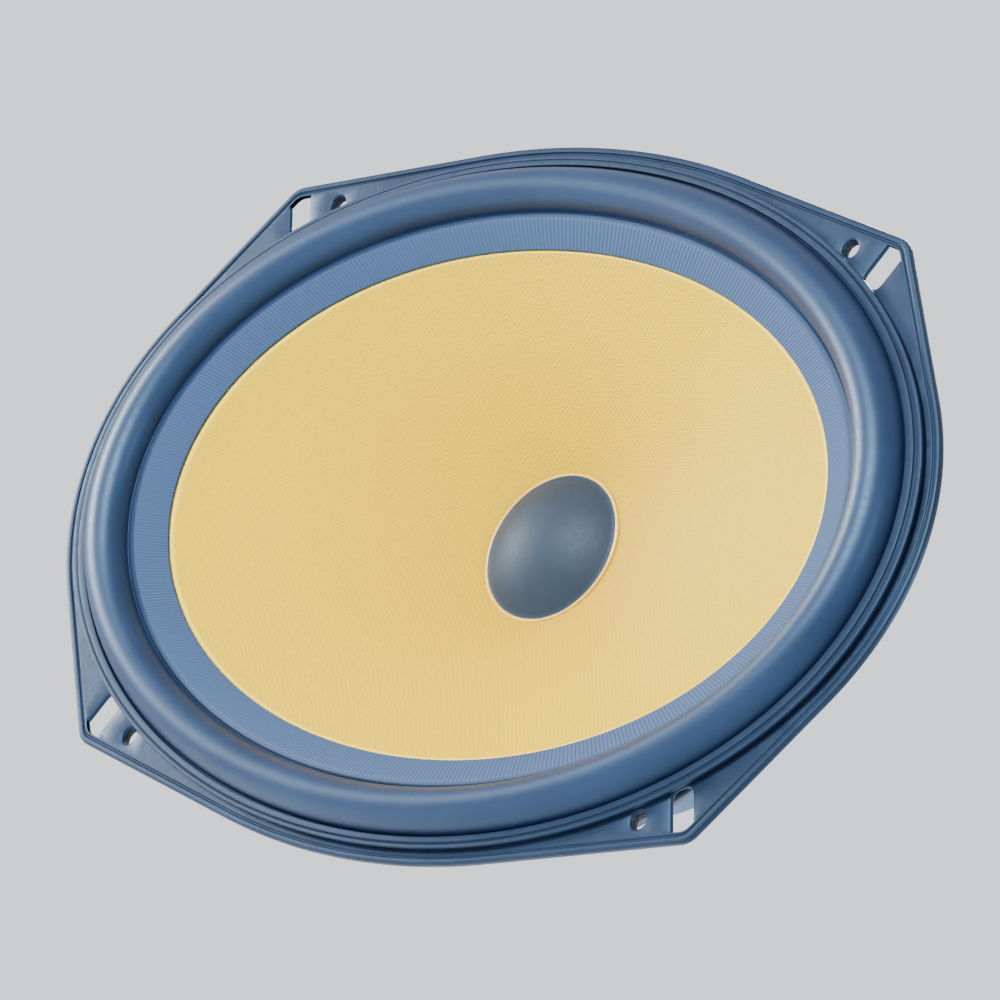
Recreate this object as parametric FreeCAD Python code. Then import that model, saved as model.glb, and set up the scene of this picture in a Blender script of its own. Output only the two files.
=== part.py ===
import FreeCAD, Part
import math
import os

# Oval car woofer, 6x9 in class. Millimetres.
# It is modelled face up: +Z points out of the cone, X runs along the oval, Y across it,
# and Z = 0 is the plane of the panel that the rear gasket rests on.
# save() then stands every part up on edge, so that the cone faces -Y.

V = FreeCAD.Vector
UP = V(0, 0, 1)
TINY = 1e-6
HALVINGS = 50                   # steps of a search by halving
CUT = 3.0                       # how far a cutter reaches past a face
FIT = 0.1                       # between a shaft and its hole
GAP = 0.3                       # between rubber or foam and its neighbour, and the glue line

# Flange
FLANGE_LONG = 117.75            # half of the oval's length
FLANGE_SHORT = 81.4             # half of its width
FLANGE_FRONT = 3.0              # front face above the panel
SHEET = 1.2                     # pressed steel
RIM_WALL = 1.3                  # turned-back rim
RIM_BACK = 1.5                  # the rim stops well short of the panel
EAR_X, EAR_Y, EAR_R = 83.0, 61.2, 5.5
SLOT_X, SLOT_Y = 82.6, 60.2
SLOT_WIDE, SLOT_LONG, SLOT_CORNER = 5.1, 10.8, 1.9
SLOT_TILT = 66.0                # degrees from the long axis
HOLE_X, HOLE_Y, HOLE_R = 72.4, 63.2, 1.85

# Basket wall, as (half length, half width, height) of its outer face
OPENING = (107.0, 71.2)
WALL_FOOT = (105.6, 69.9, -6.0)
SHOULDER = (102.5, 67.8, -9.5)
WALL_END = (66.0, 64.0, -36.4)
SHELF_R, SHELF_Z = 61.2, -40.2  # ring that carries the spider
SHELF_EASE, SHELF_EASE_Z = 2.0, 1.2
DOME_TOP_R, DOME_END_R = 57.6, 45.0
DOME_BULGE = 1.6
BASE_Z = -51.5                  # rear face of the basket
BASKET_BORE = 19.5
DOME_STEPS = 4
UPRIGHT, SLOPING, LEVEL = (1.0, 0.5), (0.9, 0.9), (0.5, 1.0)  # inner face, in sheets in and up

# Windows, as (middle angle, [(fraction down the wall, half angle), ...])
LONG_WINDOW = [(0.09, 21.5), (0.89, 24.5)]
CORNER_WINDOW = [(0.16, 4.6), (0.85, 7.8)]
END_WINDOW = [(0.38, 20.0), (0.54, 26.5), (0.88, 22.0)]
CORNER_ANGLE = 48.6
CRESCENT_TOP, CRESCENT_LOW = 0.03, 0.27
CRESCENT_FROM, CRESCENT_TO, CRESCENT_TAPER = 3.4, 26.0, 0.8
WINDOW_STEPS = 5
WINDOW_REACH = 0.13             # cutters reach this share in and out of the wall

# Tabs in the end windows
TAB_ROOT, TAB_END, TAB_WIDE, TAB_Z = 67.5, 82.1, 9.2, -33.6
TAB_CORNER = 1.0
TAB_HOLE_X, TAB_HOLE_R = 77.0, 1.9

# Surround and gaskets
FOAM_OUT = (112.6, 76.6)
FOAM_LOBE_R = 5.5               # round each screw hole
GASKET_OUT, GASKET_STEP, GASKET_IN = (114.4, 78.4), (112.4, 77.2), (110.4, 76.0)
GASKET_LOW, GASKET_TOP, GASKET_HIGH = 3.8, 4.6, 5.0
EDGE_OUT = (113.6, 77.6)
ROLL_OUT, ROLL_IN = (109.8, 75.5), (98.6, 65.4)
ROLL_RISE, ROLL_FOOT = 5.6, 3.8
RUBBER = 0.8
ROLL_STEPS = 12
LIP = (96.9, 64.1)
LIP_Z = 4.3
LIP_END = 0.4                   # thickness where the lip ends on the cone

# Cone, dust cap and voice coil
CONE_EDGE = (89.46, 57.84)
CONE_EDGE_Z = 1.2
CONE_NECK_R, CONE_NECK_Z, CONE_FOOT = 16.3, -22.6, 1.6
PAPER = 0.9
CAP_R, CAP_RISE, CAP_WALL, CAP_SIT = 16.7, 5.2, 0.6, -22.3
FORMER_IN, FORMER_OUT = 15.0, 15.3
FORMER_LOW = -62.0
COIL_OUT, COIL_HALF, COIL_MID = 16.0, 6.5, -54.0
COLLAR_OUT, COLLAR_LOW, COLLAR_HIGH = 15.5, -46.0, -39.8

# Spider
SPIDER_IN_FLAT, SPIDER_OUT_FLAT, SPIDER_OUT = 19.5, 54.0, 59.8
SPIDER_Z = -38.75
SPIDER_WAVES, SPIDER_WAVE, SPIDER_CLOTH = 6, 1.9, 0.5
WAVE_STEPS = 8

# Motor
TOP_PLATE_R, TOP_PLATE_BORE, TOP_PLATE_THICK = 39.5, 16.7, 5.0
MAGNET_R, MAGNET_BORE, MAGNET_THICK, MAGNET_EDGE = 42.0, 22.0, 14.4, 0.8
BACK_R, BACK_THICK = 40.4, 5.4
BACK_CHAMFER_WIDE, BACK_CHAMFER_DEEP = 2.7, 2.9
POLE_R, POLE_TOP, POLE_VENT, POLE_CHAMFER = 14.4, -50.6, 5.0, 0.8
BADGE_R, BADGE_SEAT, BADGE_THICK = 36.6, 0.7, 1.0
BADGE_EDGE_WIDE, BADGE_EDGE_DEEP = 0.5, 0.7
EMBLEM_R, EMBLEM_THICK, EMBLEM_DROP = 6.4, 0.5, 19.0
STAKE_R, STAKE_HEAD_R, STAKE_HEAD, STAKE_CIRCLE = 2.4, 3.6, 1.2, 30.0
STAKES = 4

# Terminals
BOARD_LONG, BOARD_WIDE, BOARD_THICK, BOARD_CORNER = 30.0, 11.5, 1.6, 1.5
BOARD_X = -TAB_HOLE_X
BLADE_THICK, BLADE_OUT, BLADE_SEAT, BLADE_CHAMFER = 0.8, 8.0, 6.0, 1.2
BLADE_HOLE_R, BLADE_HOLE_IN = 0.9, 3.2
POSITIVE_WIDE, NEGATIVE_WIDE = 6.3, 4.8
RIVET_R, RIVET_HEAD_R, RIVET_HEAD = 1.2, 2.0, 0.6
PIN_Y = 11.4
BOARD_RIVET_HEAD_R, BOARD_RIVET_HEAD = 3.2, 1.0
LEAD_R = 0.8
LEAD_DROP, LEAD_SAG_Z, LEAD_HUMP, LEAD_BEND = 8.0, -31.5, 6.4, 2.6
LEAD_PAD_R, LEAD_PAD_THICK, LEAD_PAD_GAP = 2.2, 0.9, 1.2
LEAD_PAD_X, LEAD_PAD_Y = -34.0, 9.0


def ellipse(long, short, z):
    """One closed edge round the axis, starting on +X."""
    if abs(long - short) < TINY:
        return Part.makeCircle(long, V(0, 0, z))
    return Part.Ellipse(V(0, 0, z), long, short).toShape()


def closed_solid(faces):
    """The solid that a closed set of faces bounds."""
    shell = Part.makeShell(faces)
    shell.sewShape()
    solid = Part.makeSolid(shell)
    if solid.Volume < 0:
        solid.reverse()
    return solid


def oval_solid(sections):
    """A ring whose cross-section is the closed list of (half length, half width, z)."""
    edges = [ellipse(*s) for s in sections]
    after = edges[1:] + edges[:1]
    return closed_solid([Part.makeRuledSurface(one, two) for one, two in zip(edges, after)])


def turned(profile):
    """A round solid from its closed half section of (radius, z)."""
    points = [V(r, 0, z) for r, z in profile]
    face = Part.Face(Part.makePolygon(points + points[:1]))
    return face.revolve(V(0, 0, 0), UP, 360)


def disc(radius, low, high, bore=0.0, x=0.0, y=0.0):
    """A cylinder, or a ring, between two heights."""
    body = Part.makeCylinder(radius, high - low, V(x, y, low))
    if bore:
        body = body.cut(Part.makeCylinder(bore, high - low, V(x, y, low)))
    return body


def block(x0, x1, y0, y1, z0, z1):
    return Part.makeBox(x1 - x0, y1 - y0, z1 - z0, V(x0, y0, z0))


def oval_disc(long, short, low, high):
    face = Part.Face(Part.Wire([ellipse(long, short, low)]))
    return face.extrude(V(0, 0, high - low))


def upright_edges(body):
    """The edges that run along Z."""
    boxes = [(e, e.BoundBox) for e in body.Edges]
    return [e for e, box in boxes if box.ZLength > max(box.XLength, box.YLength)]


def four_ways(make):
    """What make(sign x, sign y) gives, in each quadrant."""
    return [make(sx, sy) for sx in (-1, 1) for sy in (-1, 1)]


# ---------------------------------------------------------------- flange


def support(long, short, angle):
    """How far the oval reaches in one direction."""
    return math.hypot(long * math.cos(angle), short * math.sin(angle))


def tangent_angle(long, short, radius, low, high):
    """Direction of the normal of the line that touches both the oval and the ear's corner."""
    def gap(angle):
        corner = EAR_X * math.cos(angle) + EAR_Y * math.sin(angle) + radius
        return support(long, short, angle) - corner
    rising = gap(high) > gap(low)
    for _ in range(HALVINGS):
        middle = (low + high) / 2
        if (gap(middle) > 0) == rising:
            high = middle
        else:
            low = middle
    return (low + high) / 2


def flange_face(inset, z):
    """The oval with an ear in each quadrant: a round corner between two tangent straight edges."""
    long, short, radius = FLANGE_LONG - inset, FLANGE_SHORT - inset, EAR_R - inset
    middle = math.atan2(EAR_Y, EAR_X)
    steep = tangent_angle(long, short, radius, 0.0, middle)
    shallow = tangent_angle(long, short, radius, middle, math.pi / 2)

    def turn_at(angle):
        """The oval's own parameter where its normal has this angle."""
        return math.atan2(short * math.sin(angle), long * math.cos(angle))

    def on_oval(angle):
        turn = turn_at(angle)
        return long * math.cos(turn), short * math.sin(turn)

    def on_corner(angle):
        return EAR_X + radius * math.cos(angle), EAR_Y + radius * math.sin(angle)

    def ear_edges(sx, sy):
        def place(point):
            return V(sx * point[0], sy * point[1], z)
        arc = [place(on_corner(a)) for a in (steep, (steep + shallow) / 2, shallow)]
        return [
            Part.makeLine(place(on_oval(steep)), arc[0]),
            Part.Arc(*arc).toShape(),
            Part.makeLine(arc[2], place(on_oval(shallow))),
        ]

    oval = Part.Ellipse(V(0, 0, z), long, short)
    end, side = turn_at(steep), turn_at(shallow)
    spans = [(-end, end), (side, math.pi - side)]
    spans += [(math.pi - end, math.pi + end), (math.pi + side, 2 * math.pi - side)]
    edges = [Part.ArcOfEllipse(oval, low, high).toShape() for low, high in spans]
    for some in four_ways(ear_edges):
        edges += some
    return Part.Face(Part.Wire(Part.__sortEdges__(edges)))


def slot_cutter(sx, sy):
    """Rounded slot through one ear, leaning towards the middle."""
    half_long, half_wide = SLOT_LONG / 2, SLOT_WIDE / 2
    bar = block(-half_long, half_long, -half_wide, half_wide, -CUT, FLANGE_FRONT + CUT)
    bar = bar.makeFillet(SLOT_CORNER, upright_edges(bar))
    bar.rotate(V(0, 0, 0), UP, sx * sy * SLOT_TILT)
    bar.translate(V(sx * SLOT_X, sy * SLOT_Y, 0))
    return bar


def hole_cutter(sx, sy):
    return disc(HOLE_R, -CUT, FLANGE_FRONT + CUT, x=sx * HOLE_X, y=sy * HOLE_Y)


def ear_cuts():
    return four_ways(slot_cutter) + four_ways(hole_cutter)


# ---------------------------------------------------------------- basket


def wall_section(fraction):
    """Half length, half width and height at a fraction of the way down the sloping wall."""
    return tuple(a + (b - a) * fraction for a, b in zip(SHOULDER, WALL_END))


def dome_point(step, inset):
    """A section of the dome between the shelf and the base, bulging outwards a little."""
    share = step / DOME_STEPS
    across, down = DOME_END_R - DOME_TOP_R, BASE_Z - SHELF_Z
    length = math.hypot(across, down)
    out = DOME_BULGE * math.sin(math.pi * share) - inset
    radius = DOME_TOP_R + across * share - out * down / length
    return radius, radius, SHELF_Z + down * share + out * across / length


def lining(section, shift):
    """The inner face's section, moved in and up by so many thicknesses of the sheet."""
    long, short, z = section
    return long - SHEET * shift[0], short - SHEET * shift[0], z + SHEET * shift[1]


def basket_sections():
    """Closed cross-section: down the outside, across the base and back up the inside."""
    ease = SHELF_R + SHELF_EASE
    shelf = (SHELF_R, SHELF_R, SHELF_Z)
    dome_top = (DOME_TOP_R, DOME_TOP_R, SHELF_Z)
    dome_end = (DOME_END_R, DOME_END_R, BASE_Z)
    outside = [OPENING + (FLANGE_FRONT,), OPENING + (FLANGE_FRONT - SHEET,)]
    outside += [WALL_FOOT, SHOULDER, WALL_END, (ease, ease, SHELF_Z + SHELF_EASE_Z)]
    outside += [shelf, dome_top] + [dome_point(k, 0.0) for k in range(1, DOME_STEPS)]
    outside += [dome_end, (BASKET_BORE, BASKET_BORE, BASE_Z)]
    inside = [(BASKET_BORE, BASKET_BORE, BASE_Z + SHEET), lining(dome_end, LEVEL)]
    inside += [dome_point(k, SHEET) for k in range(DOME_STEPS - 1, 0, -1)]
    inside += [lining(dome_top, LEVEL), lining(shelf, LEVEL), lining(WALL_END, SLOPING)]
    inside += [lining(SHOULDER, SLOPING), lining(WALL_FOOT, UPRIGHT)]
    inside.append((OPENING[0] - SHEET, OPENING[1] - SHEET, FLANGE_FRONT))
    return outside + inside


def window_outline(middle, levels, scale):
    """Points round one window on the wall, or on the wall grown or shrunk by a scale."""
    def at(fraction, angle):
        long, short, z = wall_section(fraction)
        turn = math.radians(angle)
        return V(long * scale * math.cos(turn), short * scale * math.sin(turn), z)
    first, last = levels[0], levels[-1]
    sweep = [2.0 * k / WINDOW_STEPS - 1.0 for k in range(WINDOW_STEPS + 1)]
    points = [at(first[0], middle + first[1] * s) for s in sweep]
    points += [at(f, middle + half) for f, half in levels[1:-1]]
    points += [at(last[0], middle - last[1] * s) for s in sweep]
    points += [at(f, middle - half) for f, half in reversed(levels[1:-1])]
    return points


def window_cutter(middle, levels):
    """A block through the wall whose sides follow the window's outline."""
    wires = []
    for scale in (1 - WINDOW_REACH, 1 + WINDOW_REACH):
        points = window_outline(middle, levels, scale)
        wires.append(Part.makePolygon(points + points[:1]))
    faces = fan(wires[0]) + fan(wires[1])
    for low, high in zip(wires[0].Edges, wires[1].Edges):
        faces.append(Part.makeRuledSurface(low, high))
    return closed_solid(faces)


def fan(wire):
    """A fan of triangles over a closed polygon that need not be flat."""
    points = [e.Vertexes[0].Point for e in wire.Edges]
    centre = V(0, 0, 0)
    for p in points:
        centre = centre + p
    centre = centre * (1.0 / len(points))
    after = points[1:] + points[:1]
    return [Part.Face(Part.makePolygon([centre, a, b, centre])) for a, b in zip(points, after)]


def windows():
    """Every window of the basket: long sides, corners, ends and the crescents beyond the ends."""
    found = [window_cutter(a, LONG_WINDOW) for a in (90, 270)]
    found += [window_cutter(s * CORNER_ANGLE + t, CORNER_WINDOW) for s in (-1, 1) for t in (0, 180)]
    found += [window_cutter(a, END_WINDOW) for a in (0, 180)]
    middle = (CRESCENT_FROM + CRESCENT_TO) / 2
    half = (CRESCENT_TO - CRESCENT_FROM) / 2
    crescent = [(CRESCENT_TOP, half), (CRESCENT_LOW, half * CRESCENT_TAPER)]
    found += [window_cutter(t + s * middle, crescent) for s in (-1, 1) for t in (0, 180)]
    return found


def tab(sign):
    """Flat square-ended tab that reaches out from the lower edge of an end window."""
    half = TAB_WIDE / 2
    low, high = sorted((sign * TAB_ROOT, sign * TAB_END))
    plate = block(low, high, -half, half, TAB_Z - SHEET, TAB_Z)
    ends = [e for e in upright_edges(plate) if abs(e.Vertexes[0].X - sign * TAB_END) < TINY]
    return plate.makeFillet(TAB_CORNER, ends)


def tab_hole(sign):
    return disc(TAB_HOLE_R, TAB_Z - CUT, TAB_Z + CUT, x=sign * TAB_HOLE_X)


def stake_places():
    """Angles of the stakes that clamp the basket to the top plate."""
    turn = 2 * math.pi / STAKES
    angles = [turn * (k + 0.5) for k in range(STAKES)]
    return [(STAKE_CIRCLE * math.cos(a), STAKE_CIRCLE * math.sin(a)) for a in angles]


def flange():
    """Flat plate with a turned-back rim, open in the middle."""
    thick = FLANGE_FRONT - RIM_BACK
    body = flange_face(0, RIM_BACK).extrude(V(0, 0, thick))
    hollow = flange_face(RIM_WALL, RIM_BACK).extrude(V(0, 0, thick - SHEET))
    return body.cut([hollow, oval_disc(OPENING[0], OPENING[1], -CUT, FLANGE_FRONT + CUT)])


def basket():
    wall = oval_solid(basket_sections()).cut(windows())
    body = wall.fuse([flange()]).fuse([tab(-1), tab(1)])
    low, high = BASE_Z - CUT, BASE_Z + CUT
    stake_holes = [disc(STAKE_R, low, high, x=x, y=y) for x, y in stake_places()]
    body = body.cut(ear_cuts() + [tab_hole(-1), tab_hole(1)] + stake_holes)
    return body.removeSplitter()


def foam_lobe(sx, sy):
    """Foam round one screw hole."""
    return disc(FOAM_LOBE_R, 0.0, FLANGE_FRONT - SHEET, x=sx * HOLE_X, y=sy * HOLE_Y)


def rear_gasket():
    """Closed-cell foam ring between the flange and the panel, with a lobe round each screw hole."""
    high = FLANGE_FRONT - SHEET
    body = oval_disc(FOAM_OUT[0], FOAM_OUT[1], 0.0, high).fuse(four_ways(foam_lobe))
    body = body.common(flange_face(RIM_WALL + GAP, 0.0).extrude(V(0, 0, high)))
    opening = oval_disc(OPENING[0] + GAP, OPENING[1] + GAP, -CUT, FLANGE_FRONT)
    return body.cut(ear_cuts() + [opening]).removeSplitter()


# ---------------------------------------------------------------- front ring and moving parts


def front_gasket():
    """Trim ring that clamps the surround's edge, with one low step."""
    return oval_solid([
        GASKET_OUT + (GASKET_LOW,), GASKET_OUT + (GASKET_TOP,), GASKET_STEP + (GASKET_TOP,),
        GASKET_STEP + (GASKET_HIGH,), GASKET_IN + (GASKET_HIGH,), GASKET_IN + (GASKET_LOW,),
    ])


def between(outer, inner, share):
    return tuple(a + (b - a) * share for a, b in zip(outer, inner))


def roll_sections(inset):
    """Half-round roll, from its outer root to its inner root."""
    found = []
    for k in range(1, ROLL_STEPS):
        turn = math.pi * k / ROLL_STEPS
        narrow = 1 - 2 * inset / (ROLL_OUT[0] - ROLL_IN[0])
        share = 0.5 - 0.5 * math.cos(turn) * narrow
        rise = (ROLL_RISE - inset) * math.sin(turn)
        foot = ROLL_FOOT + (LIP_Z - ROLL_FOOT) * share - (inset if rise < inset else 0)
        found.append(between(ROLL_OUT, ROLL_IN, share) + (foot + rise,))
    return found


def surround():
    """Rubber edge: flat rim under the front ring, half roll, and a band on the cone's rim."""
    flat = FLANGE_FRONT
    top = [EDGE_OUT + (flat,), EDGE_OUT + (flat + RUBBER,), ROLL_OUT + (flat + RUBBER,)]
    top += roll_sections(0.0)
    top += [ROLL_IN + (LIP_Z,), LIP + (LIP_Z,), CONE_EDGE + (CONE_EDGE_Z + LIP_END,)]
    low = [CONE_EDGE + (CONE_EDGE_Z,), LIP + (LIP_Z - RUBBER,), ROLL_IN + (LIP_Z - RUBBER,)]
    low += list(reversed(roll_sections(RUBBER)))
    root = RUBBER / (ROLL_OUT[0] - ROLL_IN[0])
    low.append(between(ROLL_OUT, ROLL_IN, root) + (flat,))
    return oval_solid(top + low)


def cone():
    """Oval paper cone that narrows to a round neck."""
    rim = LIP + (LIP_Z - RUBBER - GAP,)
    edge = CONE_EDGE + (CONE_EDGE_Z - GAP,)
    neck_top = (CONE_NECK_R, CONE_NECK_R, CONE_NECK_Z)
    foot = (FORMER_OUT, FORMER_OUT, CONE_NECK_Z - CONE_FOOT)
    under = [(s[0], s[1], s[2] - PAPER) for s in (foot, neck_top, edge, rim)]
    return oval_solid([rim, edge, neck_top, foot] + under)


def dome(radius, rise, low):
    """A slice of a sphere, with its flat side down."""
    ball = (radius ** 2 + rise ** 2) / (2 * rise)
    rim = math.degrees(math.asin((ball - rise) / ball))
    body = Part.makeSphere(ball, V(0, 0, 0), UP, rim, 90, 360)
    body.translate(V(0, 0, low + rise - ball))
    return body


def dust_cap():
    """Thin round dome glued over the neck."""
    outer = dome(CAP_R, CAP_RISE, CAP_SIT)
    return outer.cut(dome(CAP_R - CAP_WALL, CAP_RISE - CAP_WALL, CAP_SIT))


def voice_coil_former():
    return disc(FORMER_OUT, FORMER_LOW, CONE_NECK_Z, bore=FORMER_IN)


def voice_coil_winding():
    return disc(COIL_OUT, COIL_MID - COIL_HALF, COIL_MID + COIL_HALF, bore=FORMER_OUT)


def former_collar():
    """Stiffening sleeve between the spider and the coil."""
    return disc(COLLAR_OUT, COLLAR_LOW, COLLAR_HIGH, bore=FORMER_OUT)


def spider():
    """Corrugated cloth disc that centres the coil."""
    half = SPIDER_CLOTH / 2
    count = SPIDER_WAVES * WAVE_STEPS
    wavy = []
    for k in range(count + 1):
        radius = SPIDER_IN_FLAT + (SPIDER_OUT_FLAT - SPIDER_IN_FLAT) * k / count
        turn = 2 * math.pi * k / WAVE_STEPS
        wavy.append((radius, SPIDER_Z + SPIDER_WAVE / 2 * math.sin(turn)))
    line = [(FORMER_OUT + FIT, SPIDER_Z)] + wavy + [(SPIDER_OUT, SPIDER_Z)]
    top = [(r, z + half) for r, z in line]
    low = [(r, z - half) for r, z in reversed(line)]
    return turned(top + low)


# ---------------------------------------------------------------- motor


def top_plate():
    low = BASE_Z - TOP_PLATE_THICK
    body = disc(TOP_PLATE_R, low, BASE_Z, bore=TOP_PLATE_BORE)
    holes = [disc(STAKE_R, low - CUT, BASE_Z + CUT, x=x, y=y) for x, y in stake_places()]
    return body.cut(holes)


def stakes():
    """Stakes of the top plate, headed over inside the basket."""
    low = BASE_Z - TOP_PLATE_THICK
    head = BASE_Z + SHEET
    found = []
    for x, y in stake_places():
        shank = disc(STAKE_R, low, head, x=x, y=y)
        found.append(shank.fuse(disc(STAKE_HEAD_R, head, head + STAKE_HEAD, x=x, y=y)))
    return Part.makeCompound(found)


def magnet():
    high = BASE_Z - TOP_PLATE_THICK
    low = high - MAGNET_THICK
    e = MAGNET_EDGE
    return turned([
        (MAGNET_BORE, low), (MAGNET_R - e, low), (MAGNET_R, low + e),
        (MAGNET_R, high - e), (MAGNET_R - e, high), (MAGNET_BORE, high),
    ])


def back_levels():
    """Front and rear face of the back plate."""
    front = BASE_Z - TOP_PLATE_THICK - MAGNET_THICK
    return front, front - BACK_THICK


def back_plate():
    """Steel disc with a wide chamfer and a shallow seat for the badge."""
    front, rear = back_levels()
    bore = POLE_R + FIT
    seat = BADGE_R + GAP
    return turned([
        (bore, front), (BACK_R, front), (BACK_R, rear + BACK_CHAMFER_DEEP),
        (BACK_R - BACK_CHAMFER_WIDE, rear), (seat, rear), (seat, rear + BADGE_SEAT),
        (bore, rear + BADGE_SEAT),
    ])


def pole_piece():
    """Steel core pressed into the back plate, vented along its axis."""
    rear = back_levels()[1] + BADGE_SEAT
    return turned([
        (POLE_VENT, rear), (POLE_R, rear), (POLE_R, POLE_TOP - POLE_CHAMFER),
        (POLE_R - POLE_CHAMFER, POLE_TOP), (POLE_VENT, POLE_TOP),
    ])


def badge_rear():
    return back_levels()[1] + BADGE_SEAT - BADGE_THICK


def rear_badge():
    """Round plate with a bevelled edge, seated in the back plate."""
    seat = back_levels()[1] + BADGE_SEAT
    face = badge_rear()
    return turned([
        (0, seat), (BADGE_R, seat), (BADGE_R, face + BADGE_EDGE_DEEP),
        (BADGE_R - BADGE_EDGE_WIDE, face), (0, face),
    ])


def badge_emblem():
    """Plain round button on the badge."""
    face = badge_rear()
    return disc(EMBLEM_R, face - EMBLEM_THICK, face, y=-EMBLEM_DROP)


# ---------------------------------------------------------------- terminals


def board_levels():
    low = TAB_Z - SHEET - BOARD_THICK
    return low, TAB_Z - SHEET


def terminal_board():
    """Insulating strip riveted under the tab."""
    low, high = board_levels()
    half_x, half_y = BOARD_WIDE / 2, BOARD_LONG / 2
    body = block(BOARD_X - half_x, BOARD_X + half_x, -half_y, half_y, low, high)
    body = body.makeFillet(BOARD_CORNER, upright_edges(body))
    holes = [disc(TAB_HOLE_R, low - CUT, high + CUT, x=BOARD_X)]
    holes += [disc(RIVET_R, low - CUT, high + CUT, x=BOARD_X, y=s * PIN_Y) for s in (-1, 1)]
    return body.cut(holes)


def terminal(side, wide):
    """Flat push-on blade that points out past the end of the board."""
    top = board_levels()[0]
    low = top - BLADE_THICK
    start, tip = BOARD_LONG / 2 - BLADE_SEAT, BOARD_LONG / 2 + BLADE_OUT
    y0, y1 = sorted((side * start, side * tip))
    body = block(BOARD_X - wide / 2, BOARD_X + wide / 2, y0, y1, low, top)
    ends = [e for e in upright_edges(body) if abs(e.Vertexes[0].Y - side * tip) < TINY]
    body = body.makeChamfer(BLADE_CHAMFER, ends)
    low, high = low - CUT, top + CUT
    hole = disc(BLADE_HOLE_R, low, high, x=BOARD_X, y=side * (tip - BLADE_HOLE_IN))
    pin = disc(RIVET_R, low, high, x=BOARD_X, y=side * PIN_Y)
    return body.cut([hole, pin])


def terminal_rivets():
    """Hollow rivets that hold the blades on the board."""
    low, high = board_levels()
    under = low - BLADE_THICK
    found = []
    for side in (-1, 1):
        y = side * PIN_Y
        shank = disc(RIVET_R, under, high, x=BOARD_X, y=y)
        head = disc(RIVET_HEAD_R, under - RIVET_HEAD, under, x=BOARD_X, y=y)
        top = disc(RIVET_HEAD_R, high, high + RIVET_HEAD, x=BOARD_X, y=y)
        found.append(shank.fuse([head, top]))
    return Part.makeCompound(found)


def board_rivet():
    """Rivet through the tab and the board."""
    low = board_levels()[0]
    shank = disc(TAB_HOLE_R - FIT, low, TAB_Z, x=BOARD_X)
    heads = [
        disc(BOARD_RIVET_HEAD_R, low - BOARD_RIVET_HEAD, low, x=BOARD_X),
        disc(BOARD_RIVET_HEAD_R, TAB_Z, TAB_Z + BOARD_RIVET_HEAD, x=BOARD_X),
    ]
    return shank.fuse(heads)


def cone_under(x, y):
    """Height of the cone's rear face at a point."""
    low, high = 0.0, 1.0
    for _ in range(HALVINGS):
        share = (low + high) / 2
        long = CONE_NECK_R + (CONE_EDGE[0] - CONE_NECK_R) * share
        short = CONE_NECK_R + (CONE_EDGE[1] - CONE_NECK_R) * share
        if math.hypot(x / long, y / short) > 1:
            low = share
        else:
            high = share
    return CONE_NECK_Z + (CONE_EDGE_Z - CONE_NECK_Z) * low - PAPER


def lead_pad_levels(side):
    """Rear and front face of the solder eyelet."""
    front = cone_under(LEAD_PAD_X, side * LEAD_PAD_Y) - LEAD_PAD_GAP
    return front - LEAD_PAD_THICK, front


def lead_pad(side):
    """Solder eyelet on the back of the cone."""
    low, high = lead_pad_levels(side)
    return disc(LEAD_PAD_R, low, high, x=LEAD_PAD_X, y=side * LEAD_PAD_Y)


def rounded_path(points, radius):
    """Straight runs joined by tangent arcs of one radius."""
    edges = []
    here = points[0]
    for before, corner, after in zip(points, points[1:], points[2:]):
        inward = (before - corner).normalize()
        outward = (after - corner).normalize()
        half_turn = (math.pi - inward.getAngle(outward)) / 2
        reach = radius * math.tan(half_turn)
        start, end = corner + inward * reach, corner + outward * reach
        bisector = (inward + outward).normalize()
        middle = corner + bisector * (radius / math.cos(half_turn) - radius)
        edges.append(Part.makeLine(here, start))
        edges.append(Part.Arc(start, middle, end).toShape())
        here = end
    edges.append(Part.makeLine(here, points[-1]))
    return Part.Wire(edges)


def tinsel_lead(side):
    """Flexible braid from a terminal to the cone, in one slack bow."""
    pad_y, pin_y = side * LEAD_PAD_Y, side * PIN_Y
    pad_z = lead_pad_levels(side)[0]
    pin_z = board_levels()[1] + RIVET_HEAD
    middle_y = (pad_y + pin_y) / 2
    route = [
        V(LEAD_PAD_X, pad_y, pad_z),
        V(LEAD_PAD_X, pad_y, pad_z - LEAD_DROP),
        V((LEAD_PAD_X + BOARD_X) / 2, middle_y, LEAD_SAG_Z),
        V(BOARD_X, pin_y, pin_z + LEAD_HUMP),
        V(BOARD_X, pin_y, pin_z),
    ]
    path = rounded_path(route, LEAD_BEND)
    profile = Part.Wire([Part.makeCircle(LEAD_R, route[0], UP)])
    return path.makePipeShell([profile], True, False)


def save(name, shape):
    """Stands the shape up on edge, cone facing -Y, and writes it."""
    stood = shape.copy()
    stood.rotate(V(0, 0, 0), V(1, 0, 0), 90)
    stood.exportStep("parts/" + name + ".step")
    box = stood.BoundBox
    print(name, "valid" if stood.isValid() else "INVALID", len(stood.Solids),
          round(stood.Volume, 1), [round(v, 2) for v in (box.XLength, box.YLength, box.ZLength)])


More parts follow.
